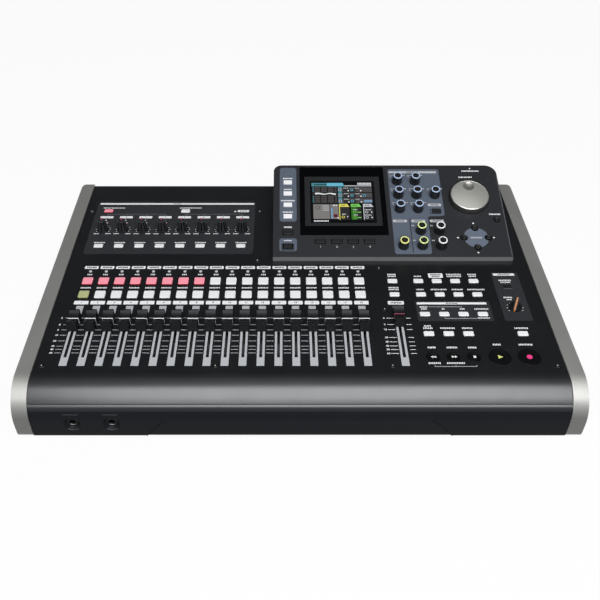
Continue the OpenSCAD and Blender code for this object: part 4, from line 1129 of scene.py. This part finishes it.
def transport_prints():
    """Words and symbols of the transport keys."""
    print_piece("transport_labels", panel, word_rows(TRANSPORT_WORDS), white_ink)
    symbols = [arrow(x + SYMBOL_DX + dx, TRANSPORT_Y, WIND_SIZE, turn)
               for x, turn in zip(SMALL_X, (180, 0)) for dx in (-WIND_HALF, WIND_HALF)]
    symbols.append(block(SMALL_X[2] + SYMBOL_DX, TRANSPORT_Y, STOP_SIZE, STOP_SIZE))
    play = [arrow(PLAY_X, TRANSPORT_Y, PLAY_SIZE, 0)]
    print_piece("transport_symbols", panel, symbols, white_ink, SYMBOL_LOW, SYMBOL_HIGH, "transport_keys")
    print_piece("play_symbol", panel, play, lamp_lime, SYMBOL_LOW, SYMBOL_HIGH, "transport_keys")
    record = [(RECORD_X, TRANSPORT_Y)]
    turned_piece("record_symbol", panel, record, RECORD_DOT, lamp_red, "transport_keys", steps=TURN_STEPS)


def key_wells():
    """Dark raised collars around the round keys."""
    bm = bmesh.new()
    for x, key_r in [(x, SMALL_R) for x in SMALL_X] + [(PLAY_X, LARGE_R), (RECORD_X, LARGE_R)]:
        lathe(bm, panel, x, TRANSPORT_Y, [(key_r + r, h) for r, h in COLLAR], KNOB_STEPS)
    finish_piece("transport_collars", bm, knob_plastic)


transport_prints()
key_wells()

# Monitor knob

POINTER_HALF = 0.65
POINTER_IN = MONITOR_R - 0.1
POINTER_OUT = MONITOR_R + 0.2
POINTER_FOOT = 0.7
POINTER_LINE = [(POINTER_IN, MONITOR_H - 0.3), (POINTER_IN, MONITOR_H + 0.1),
                (-POINTER_OUT, MONITOR_LOW + 0.05), (-POINTER_OUT, POINTER_FOOT),
                (-POINTER_IN, POINTER_FOOT), (-POINTER_IN, MONITOR_LOW - 0.3)]


def monitor_pointer():
    """Orange line along the ridge of the monitor knob and down its front end."""
    spot = Matrix.Translation((monitor_spot.x*MM, monitor_spot.y*MM, 0))
    on = panel @ spot @ Matrix.Rotation(-radians(MONITOR_TURN), 4, "Z") @ SIDE_VIEW
    levels = (-POINTER_HALF, POINTER_HALF)
    print_piece("monitor_pointer", on, [POINTER_LINE], orange_mark, *levels, "monitor_knob")


monitor_pointer()

# Endless knobs, each with a coloured ring on its rim

RING_COLOURS = [blue_ring]*7 + [yellow_ring] + [lime_ring]*2 + [white_ring]*2
RING_IN = ENCODER_TOP_R - ENCODER_RIM + 0.15
RING_OUT = ENCODER_TOP_R + 0.12
RING_LOW = ENCODER_H - 0.7
RING_HIGH = ENCODER_H + 0.25
RING_PROFILE = ((RING_IN, RING_LOW), (RING_OUT + 0.08, RING_LOW), (RING_OUT, RING_HIGH - 0.25),
                (RING_OUT - 0.3, RING_HIGH), (RING_IN + 0.25, RING_HIGH), (RING_IN, RING_HIGH - 0.2))
encoder_spots = [joint_spot(name + "_turn", housing).xy for name in encoders]

for name, spot, material in zip(encoders, encoder_spots, RING_COLOURS):
    turned_piece(name + "_ring", housing, [spot], RING_PROFILE, material, name)

# Display housing

SIDE_KEY_X = -10.35
SIDE_KEY_V = [55.1 + 16.45*i for i in range(4)]
SIDE_LABELS = (11.4, 15.6, 9, 11.2)
SIDE_PLATE = (-19.4, 48.1, -0.6, 127.1, 3.2)
HOME_PLATE = (-19.4, 7.7, -0.6, 25, 3)
SOFT_KEY_X = [24.65 + 17.6*i for i in range(4)]
SOFT_NUMBER_V = 13.6
SOFT_NUMBER_SIZE = 3.4
EQ_PLATE = ((103.8, 3.9), (143, 3.9), (143.7, 55.5), (162.5, 56.2), (162.5, 124.9), (103.9, 124.9))
EQ_PLATE_R = 3
EQ_BAR = (105.2, 118.8, 159.5, 121.8)
EQ_BAR_LABEL = (*middle(*EQ_BAR), 14, 1.5)
EQ_DIVIDER = (122.85, 5.8, 123.85, 52.2, 0.4)
EQ_PILLS = ((112.5, 48.9, 15.4, 3.4), (132.55, 48.9, 15.3, 3.4), (152.7, 48.9, 15.2, 3.4),
            (152.7, 71.8, 14.6, 3.6))
EQ_PILL_R = 0.5
EQ_WORD_SHARE = 0.6
EQ_WORD_H = 1.5
CURSOR = (192.9, 26)
CURSOR_LABEL = (12.5, 2)
CURSOR_DISC_R = 13.4
CURSOR_KEY_R = 3.5
CURSOR_KEY_AT = 13
CURSOR_BITE = 4.1
ARROWS = ((192.2, 45.7, 2.3, 90), (173, 26, 2.3, 180), (211.9, 26, 2.3, 0), (192.3, 5.8, 2.3, 270),
          (198.8, 126, 2.2, 90))
HOUSING_WORDS = [(SIDE_KEY_X, v + 6.3, w, 1.7) for v, w in zip(SIDE_KEY_V, SIDE_LABELS)]
HOUSING_WORDS += [(SIDE_KEY_X, 40.2, 8.6), (SIDE_KEY_X, 22, 8.4, 1.2),
                  (198.8, 122.1, 20, 1.8), (191.9, 112.7, 15.4, 1.8), (217.6, 58.4, 12.6, 1.8)]
BLUE_KNOBS = encoder_spots[:7]
PALE_KNOBS = encoder_spots[8:]
BLUE_WORD = (7.6, 9.8, 4.6, 1.4)
BLUE_MARKS = ((-6.6, 7.4, 1.1, 1.7), (-5.4, 9.8, 5, 0.6))
PALE_WORD = (-7.8, 7.6, 3.6, 1.5)
SOFT_KEY_V = 21.4
SOFT_KEY = (10.6, 5.2)
MENU_KEY = (SIDE_KEY_X, 33.4, 10, 5.7)
HOME_KEY = (SIDE_KEY_X, 13.7, 11.6, 7.6)
HOME_FACE = (9, 5.4)
HOME_TOP = 1
PARAM_KEY = (152.9, 62.9, 10, 5.7)
JOG_KEY = (jog_spot.x + 26.6, 50.8, 3.2)
KEY_GAP = 0.6
# widths of painted shade around the black and round keys, outside their gaps
SHADE_SIDE = 0.5
SHADE_FRONT = 0.8
ROUND_SHADE = 0.25
# painted highlight arcs inside the dishes of the round keys
DISH_ARC = ((1.35, 0.33), (1.85, 0.46), (1.85, 0.52), (1.35, 0.39))
DISH_ARC_SWEEP = (185, 345)
DISH_ARC_STEPS = 20
# painted highlight strip along the right edge of the display housing
EDGE_W = 0.95
EDGE_INSET = 0.35
EDGE_ENDS = (2, 116)
JOG_STEPS = 96
JOG_RIM = ((-0.6, -0.1), (0.12, -0.8), (0.28, -0.65), (0.08, 0.02), (-0.4, 0.24), (-0.6, 0.16))


def beside(spot, dx, dy, w, h):
    """Box beside a knob."""
    return spot.x + dx, spot.y + dy, w, h


def housing_prints():
    """Plates, words and marks on the display housing."""
    plates = [corner_pill(*SIDE_PLATE), corner_pill(*HOME_PLATE), rounded(EQ_PLATE, EQ_PLATE_R)]
    cursor = bitten_disc(*CURSOR, CURSOR_DISC_R, CURSOR_KEY_AT, CURSOR_BITE)
    white = [arrow(*place) for place in ARROWS] + word_rows(HOUSING_WORDS)
    pale = [span(*EQ_BAR)] + [pill(*box, EQ_PILL_R) for box in EQ_PILLS]
    dark_words = word_rows([(x, v, w*EQ_WORD_SHARE, EQ_WORD_H) for x, v, w, h in EQ_PILLS] + [EQ_BAR_LABEL])
    marks = label(*CURSOR, *CURSOR_LABEL)
    marks += word_rows([beside(spot, *BLUE_WORD) for spot in BLUE_KNOBS])
    marks += word_rows([beside(spot, *PALE_WORD) for spot in PALE_KNOBS])
    marks += [block(*beside(spot, *mark)) for spot in BLUE_KNOBS for mark in BLUE_MARKS]
    numbers = [(str(i + 1), x, SOFT_NUMBER_V, SOFT_NUMBER_SIZE) for i, x in enumerate(SOFT_KEY_X)]
    print_piece("housing_plates", housing, plates, blue_grey, high=PLATE_INK, slot="housing_grey")
    print_piece("cursor_disc", housing, [cursor], disc_grey, high=PLATE_INK, slot="housing_grey")
    print_piece("housing_prints", housing, white, white_ink)
    print_piece("housing_pale_prints", housing, pale, pale_ink)
    dark_print("housing_dark_labels", housing, dark_words)
    print_piece("housing_divider", housing, [corner_pill(*EQ_DIVIDER)], housing_plastic, slot="housing_grey")
    print_piece("housing_marks", housing, marks, pale_ink)
    number_piece("soft_key_numbers", housing, numbers, pale_ink, PLATE_INK)


def key_gap_shades():
    """Painted shade as dark lines around the black keys and a dark rim on the large one; painted highlight arcs in
    the round ones.
    """
    gaps = []
    for x, v, w, h in [(x, SOFT_KEY_V, *SOFT_KEY) for x in SOFT_KEY_X] + [MENU_KEY, HOME_KEY, PARAM_KEY]:
        gaps += edging(x, v, w + KEY_GAP, h + KEY_GAP, SHADE_SIDE, SHADE_FRONT)
    x, v = CURSOR
    at = CURSOR_KEY_AT
    rounds = [(x + dx, v + dv, CURSOR_KEY_R) for dx, dv in ((at, 0), (0, at), (-at, 0), (0, -at))] + [JOG_KEY]
    arcs = bmesh.new()
    for x, v, r in rounds:
        gaps += ring(x, v, r + (KEY_GAP + ROUND_SHADE)/2, ROUND_SHADE, SMALL_STEPS)
        lathe(arcs, housing, x, v, DISH_ARC, DISH_ARC_STEPS, DISH_ARC_SWEEP)
    print_piece("key_gap_shades", housing, gaps, painted_shade_ink, slot="housing_grey")
    finish_piece("round_key_glints", arcs, glint_grey, "display_keys")
    x, v, w, h = HOME_KEY
    face_w, face_h = HOME_FACE
    side = (w - face_w)/2 - SHADE_SIDE
    end = (h - face_h)/2 - SHADE_SIDE
    rim = edging(x, v, face_w, face_h, side, end, end)
    print_piece("home_key_rim_shade", housing, rim, painted_shade_ink, HOME_TOP - INK, HOME_TOP + INK, "display_keys")


def housing_edge():
    """Painted highlight as a light edge along the right side of the display housing."""
    v0, v1 = EDGE_ENDS
    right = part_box("display_housing")[1].x/MM - EDGE_INSET
    outline = corner_pill(right - EDGE_W, v0, right, v1, EDGE_W/3)
    print_piece("housing_edge", housing, [outline], side_edge_highlight, slot="housing_grey")


def jog_rim():
    """Polished edge around the top of the data wheel."""
    profile = [(JOG_EDGE_R + r, JOG_EDGE_H + h) for r, h in JOG_RIM]
    spots = [jog_spot.xy]
    turned_piece("jog_wheel_rim", housing, spots, profile, jog_polish, "jog_wheel", JOG_STEPS)


housing_prints()
key_gap_shades()
housing_edge()
jog_rim()

# Display picture: a plain page of bars, dials and tiles, made for this part, in units of its own

PICTURE = (14.8, 46.9, 87.3, 107.5, 0.5)
CONTENT = (15.8, 47.1, 85.6, 105.9)
PAGE = (69.2, 59.1)
SCREEN_GLOW = 0.8
SCREEN_COLOURS = {
    "dark": (0.0035, 0.004, 0.005), "smoke": (0.032, 0.031, 0.032), "grey": (0.085, 0.08, 0.08),
    "mid": (0.21, 0.205, 0.2), "cyan": (0.15, 0.47, 0.62), "teal": (0.08, 0.25, 0.29),
    "pale": (0.55, 0.57, 0.6), "white": (0.8, 0.82, 0.84), "sky": (0.19, 0.33, 0.5),
    "yellow": (0.75, 0.7, 0.14), "green": (0.2, 0.62, 0.12), "moss": (0.035, 0.17, 0.02),
    "red": (0.12, 0.008, 0.012)}
screen = {name: glowing("screen_" + name, colour, SCREEN_GLOW) for name, colour in SCREEN_COLOURS.items()}
screen["shade"] = screen["smoke"]
screen["ink"] = screen["dark"]
LAYER = 0.02
LAYERS = {"smoke": 1, "mid": 1, "grey": 2, "shade": 3, "moss": 3, "teal": 3, "dark": 4, "cyan": 5, "sky": 5,
          "yellow": 5, "green": 5, "red": 5, "pale": 6, "white": 6, "ink": 7}
DIAL_R = 2
DIAL_STEPS = 16
DIAL_RING_R = 1.5
DIAL_RING_W = 0.7
TILE_FOOT = 4.2
TILE_SPLIT = 22.5
TILE_TOP = 26.8
TILE_W = 11.4
TILE_CUT = 2.4
TILE_EDGE_W = 0.9
TILE_FIELD = (1.2, 11.2)
TILE_FIELD_TOP = 21.8
TILE_WORD_U = 4.4
TILE_WORD = (24.8, 5, 1.2)
WAVE_START = (4.6, 41.6)
WAVE_STEP = 1.15
WAVE_COUNT = 21
WAVE_HEIGHT = 0.6
WAVE_TURN = 0.55
WAVE_W = 1.1
WAVE_TAPER = 0.13


def bar(low, u0, w0, u1, w1, cut=0):
    """Bar over a row of the page, its upper right corner cut back."""
    return [[(u0, low + w0), (u1, low + w0), (u1 - cut, low + w1), (u0, low + w1)]]


def dot(low, u, w, across, up):
    """Small block over a row of the page."""
    return [block(u, low + w, across, up)]


def word(low, u, w, across, up):
    """Word over a row of the page."""
    return label(u, low + w, across, up)


def dial_face(low, u, w):
    """Round face of a dial over a row of the page."""
    return [disc(u, low + w, DIAL_R, DIAL_STEPS)]


def dial_ring(low, u, w, r=DIAL_RING_R, line=DIAL_RING_W):
    """Ring of a dial over a row of the page."""
    return ring(u, low + w, r, line)


def wave(low):
    """Wave across the tracks, thin in the middle."""
    u, w = WAVE_START
    points = [(u + WAVE_STEP*i, low + w + WAVE_HEIGHT*sin(WAVE_TURN*i)) for i in range(WAVE_COUNT)]
    widths = [WAVE_W + WAVE_TAPER*abs(i - WAVE_COUNT//2) for i in range(WAVE_COUNT)]
    return [stroke(*a, *b, w) for a, b, w in zip(points, points[1:], widths)]


def tile(u, head, edge):
    """Shapes of a tile: its head with a word, its edge and its field."""
    return ((bar, head, u, TILE_SPLIT, u + TILE_W, TILE_TOP, TILE_CUT),
            (word, "ink", u + TILE_WORD_U, *TILE_WORD),
            (bar, edge, u, TILE_FOOT, u + TILE_EDGE_W, TILE_SPLIT),
            (bar, "smoke", u + TILE_FIELD[0], TILE_FOOT, u + TILE_FIELD[1], TILE_FIELD_TOP))


# Groups of the page: the rows that each repeats on, then its shapes with their colours and places

WHOLE = (0,)
PAGE_GROUPS = (
    (WHOLE, ((bar, "teal", 0.6, 52.9, 18, 57.9), (bar, "cyan", 18, 52.9, 37.4, 57.9, 1.6),
             (bar, "pale", 37.4, 52.9, 68, 54.1), (word, "white", 60, 56.5, 15.5, 3.2),
             (word, "ink", 10.5, 55.4, 14, 1.8))),
    (WHOLE, ((bar, "smoke", 1.5, 28, 29.4, 52.1), (bar, "dark", 10.2, 28.6, 11.1, 51.6),
             (bar, "dark", 17.8, 28.6, 18.7, 51.6), (bar, "dark", 25.4, 28.6, 26.3, 51.6), (wave, "white"))),
    ((29, 31.6, 34.2, 36.8, 45, 47.6, 50.2), ((bar, "grey", 4.6, 0, 28.4, 1.3),
                                              (bar, "teal", 1.8, 0, 3.2, 1.3))),
    ((44.4, 36.2, 28), ((bar, "grey", 35, 0, 68, 7), (bar, "shade", 36, 0.4, 50, 4.4),
                        (bar, "teal", 30.2, 0, 34.6, 7.6),
                        (dial_face, "dark", 32.4, 3), (dial_ring, "pale", 32.4, 3),
                        (dial_face, "dark", 45.6, 3), (dial_ring, "cyan", 45.6, 3),
                        (word, "pale", 39, 5.6, 5.4, 0.9), (word, "pale", 51.6, 5.6, 5, 0.9),
                        (dot, "white", 41.6, 1.8, 1.5, 1.6), (dot, "white", 55.6, 1.8, 1.5, 1.6))),
    (WHOLE, ((dial_face, "dark", 59.4, 39.2), (dial_ring, "cyan", 59.4, 39.2),
             (bar, "sky", 58.5, 29.2, 67.4, 32.6))),
    (WHOLE, ((bar, "mid", 2.1, 5.4, 20.1, 26.4), (bar, "mid", 20.8, 5.4, 29.8, 26.4),
             (dial_ring, "grey", 6.8, 21.4, 2.3, 0.8), (bar, "sky", 21.4, 5.8, 23.2, 21),
             (bar, "red", 24.2, 7.8, 28.4, 11.8), (dot, "white", 29, 6.6, 1.6, 1.8),
             (dot, "white", 25, 24.6, 2, 1.6), (dot, "white", 27.6, 24.6, 1.4, 1.6),
             (word, "white", 10.5, 2.4, 16.4, 1.9))),
    ((17.4, 20.4, 23.4), ((bar, "pale", 12.2, 0, 19.6, 0.8),)),
    (WHOLE, tile(30.5, "yellow", "yellow") + tile(43.6, "green", "moss") + tile(57, "pale", "pale")),
    (WHOLE, ((word, "white", 35.4, 12, 4, 1.2), (dot, "white", 39.4, 8.6, 1, 1.6),
             (dial_face, "dark", 34.6, 8), (dial_ring, "yellow", 34.6, 8),
             (bar, "moss", 44.4, 4.2, 49.6, 21.8))),
    ((6.4, 14), ((bar, "green", 50, 0.3, 54.4, 1.4), (word, "white", 48.2, 4.4, 5, 0.9),
                 (word, "white", 62, 4.4, 7.4, 1), (dot, "white", 66, 1, 1.2, 1.8),
                 (dial_face, "dark", 47.4, 1), (dial_ring, "green", 47.4, 1),
                 (dial_face, "dark", 60.6, 1), (dial_ring, "pale", 60.6, 1))))


def picture():
    """The page, spread over the display."""
    x0, v0, x1, v1 = CONTENT
    along = (x1 - x0)/PAGE[0]
    up = (v1 - v0)/PAGE[1]
    low = -SCREEN_SINK
    inks = {name: [] for name in LAYERS}
    for rows, shapes in PAGE_GROUPS:
        for row in rows:
            for shape, colour, *place in shapes:
                inks[colour] += shape(row, *place)
    print_piece("screen_page", housing, [corner_pill(*PICTURE)], screen["dark"], low, low + LAYER,
                slot="screen_frame")
    for name, layer in LAYERS.items():
        outlines = [[(x0 + along*u, v0 + up*w) for u, w in outline] for outline in inks[name]]
        print_piece("screen_" + name, housing, outlines, screen[name], low, low + LAYER*(layer + 1),
                    slot="screen_frame")


picture()

# Rear sockets

INPUT_RING = ((10.2, 0), (12, 0), (11.7, 0.9), (10.5, 0.9))
INPUT_STEPS = 56
INPUT_HUB = ((3.5, 0), (4.6, 0), (4.3, 0.5), (3.7, 0.5))
INPUT_SCREW = ((0, 0), (1.9, 0), (1.7, 0.5), (0.6, 0.7), (0.5, 0.4), (0, 0.4))
INPUT_SCREWS = ((-10.4, 12.4), (10.4, -12.4))
PIN_R = 6.4
PIN_TURNS = (90, 210, 330)
PIN_HOLE = ((0.9, 0), (1.6, 0), (1.5, 0.25), (1, 0.25))
LATCH = (0, 12.9, 6, 2.6)
LATCH_H = 1.1
rear_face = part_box("jack_sockets")[1].y


def input_face(name):
    """Face of a rear input: a raised ring, three pin holes, a latch and two screws."""
    spot = Vector(mount[name]["pos_m"])
    on = REAR_VIEW.copy()
    on.translation = Vector((spot.x, rear_face, spot.z))
    bm = bmesh.new()
    lathe(bm, on, 0, 0, INPUT_RING, INPUT_STEPS)
    lathe(bm, on, 0, 0, INPUT_HUB)
    for x, y in INPUT_SCREWS:
        lathe(bm, on, x, y, INPUT_SCREW, SMALL_STEPS)
    finish_piece(name + "_ring", bm, screw_metal)
    bm = bmesh.new()
    for a in PIN_TURNS:
        lathe(bm, on, PIN_R*cos(radians(a)), PIN_R*sin(radians(a)), PIN_HOLE, SMALL_STEPS)
    prism(bm, on, pill(*LATCH, PILL_R), 0, LATCH_H)
    finish_piece(name + "_latch", bm, steel)


for name in sorted(mount):
    if name.startswith("rear_input_"):
        input_face(name)

# Stage

LAMP_COLOUR = (0.97, 0.985, 1)
LAMP_PLACE = Vector((0.12, -0.98, 1.31))
LAMP_AIM = Vector((0, -0.1, 0.05))
LAMP_SIZE = (1.7, 1.35)
LAMP_ENERGY = 32
FLOOR_HALF = 8
FLOOR_GLOW = 0.93
SEEN_BY = ("Is Camera Ray", "Is Glossy Ray", "Is Transmission Ray")
SKY = ((0.17, 1), (0.31, 0.02), (0.86, 0.02), (1, 0.5))
SKY_MIDDLE = 0.5
CAMERA_PLACE = (-0.01243, -0.60216, 0.54923)
CAMERA_TILT = 48.865
CAMERA_LENS = 44.777
CAMERA_SENSOR = 36
CAMERA_SHIFT_X = 0.02345


def put(name, data):
    """Adds an object to the scene."""
    made = bpy.data.objects.new(name, data)
    bpy.context.scene.collection.objects.link(made)
    return made


def floor():
    """Pale floor that reads as white and keeps the shadow."""
    mesh = bpy.data.meshes.new("floor")
    mesh.from_pydata([(x, y, 0) for x, y in block(0, 0, 2*FLOOR_HALF, 2*FLOOR_HALF)], [], [(0, 1, 2, 3)])
    material = surface("floor_paint", (0.86, 0.86, 0.86), 0.7, specular=0.1, grain=3, tint=0.01, relief=0.001)
    tree = material.node_tree
    paths = add_node(tree, "LightPath", {})
    seen = 0.0
    for ray in SEEN_BY:
        seen = calculated(tree, "MAXIMUM", seen, paths.outputs[ray])
    share = calculated(tree, "MULTIPLY", seen, FLOOR_GLOW)
    white = add_node(tree, "Emission", {})
    mix = add_node(tree, "MixShader", {"Fac": share, 1: tree.nodes["Principled BSDF"].outputs["BSDF"],
                                       2: white.outputs["Emission"]})
    feed(tree, tree.nodes["Material Output"], {"Surface": mix.outputs["Shader"]})
    mesh.materials.append(material)
    put("floor", mesh)


def studio_world():
    """White backdrop all around, up to a height, a dark band over it and a grey ceiling."""
    world = bpy.data.worlds.new("studio")
    bpy.context.scene.world = world
    world.use_nodes = True
    tree = world.node_tree
    coords = add_node(tree, "TexCoord", {})
    split = add_node(tree, "SeparateXYZ", {"Vector": coords.outputs["Generated"]})
    ramp = add_node(tree, "ValToRGB", {"Fac": split.outputs["Z"]})
    stops = ramp.color_ramp.elements
    while len(stops) < len(SKY):
        stops.new(SKY_MIDDLE)
    for stop, (height, level) in zip(stops, SKY):
        stop.position = height
        stop.color = (level, level, level, 1)
    feed(tree, tree.nodes["Background"], {"Color": ramp.outputs["Color"]})


def camera():
    """Camera that sees the part as the photo does."""
    data = bpy.data.cameras.new("camera")
    data.lens = CAMERA_LENS
    data.sensor_width = CAMERA_SENSOR
    data.shift_x = CAMERA_SHIFT_X
    holder = put("camera", data)
    holder.location = CAMERA_PLACE
    holder.rotation_euler = (radians(CAMERA_TILT), 0, 0)
    bpy.context.scene.camera = holder


def softbox():
    """The one lamp: a wide soft panel over the front."""
    lamp = bpy.data.lights.new("main_softbox", "AREA")
    lamp.shape = "RECTANGLE"
    lamp.size, lamp.size_y = LAMP_SIZE
    lamp.energy = LAMP_ENERGY
    lamp.color = LAMP_COLOUR
    holder = put("main_softbox", lamp)
    holder.location = LAMP_PLACE
    holder.rotation_euler = (LAMP_AIM - LAMP_PLACE).to_track_quat("-Z", "Y").to_euler()


floor()
studio_world()
camera()
softbox()
bpy.context.scene.view_settings.view_transform = "Standard"
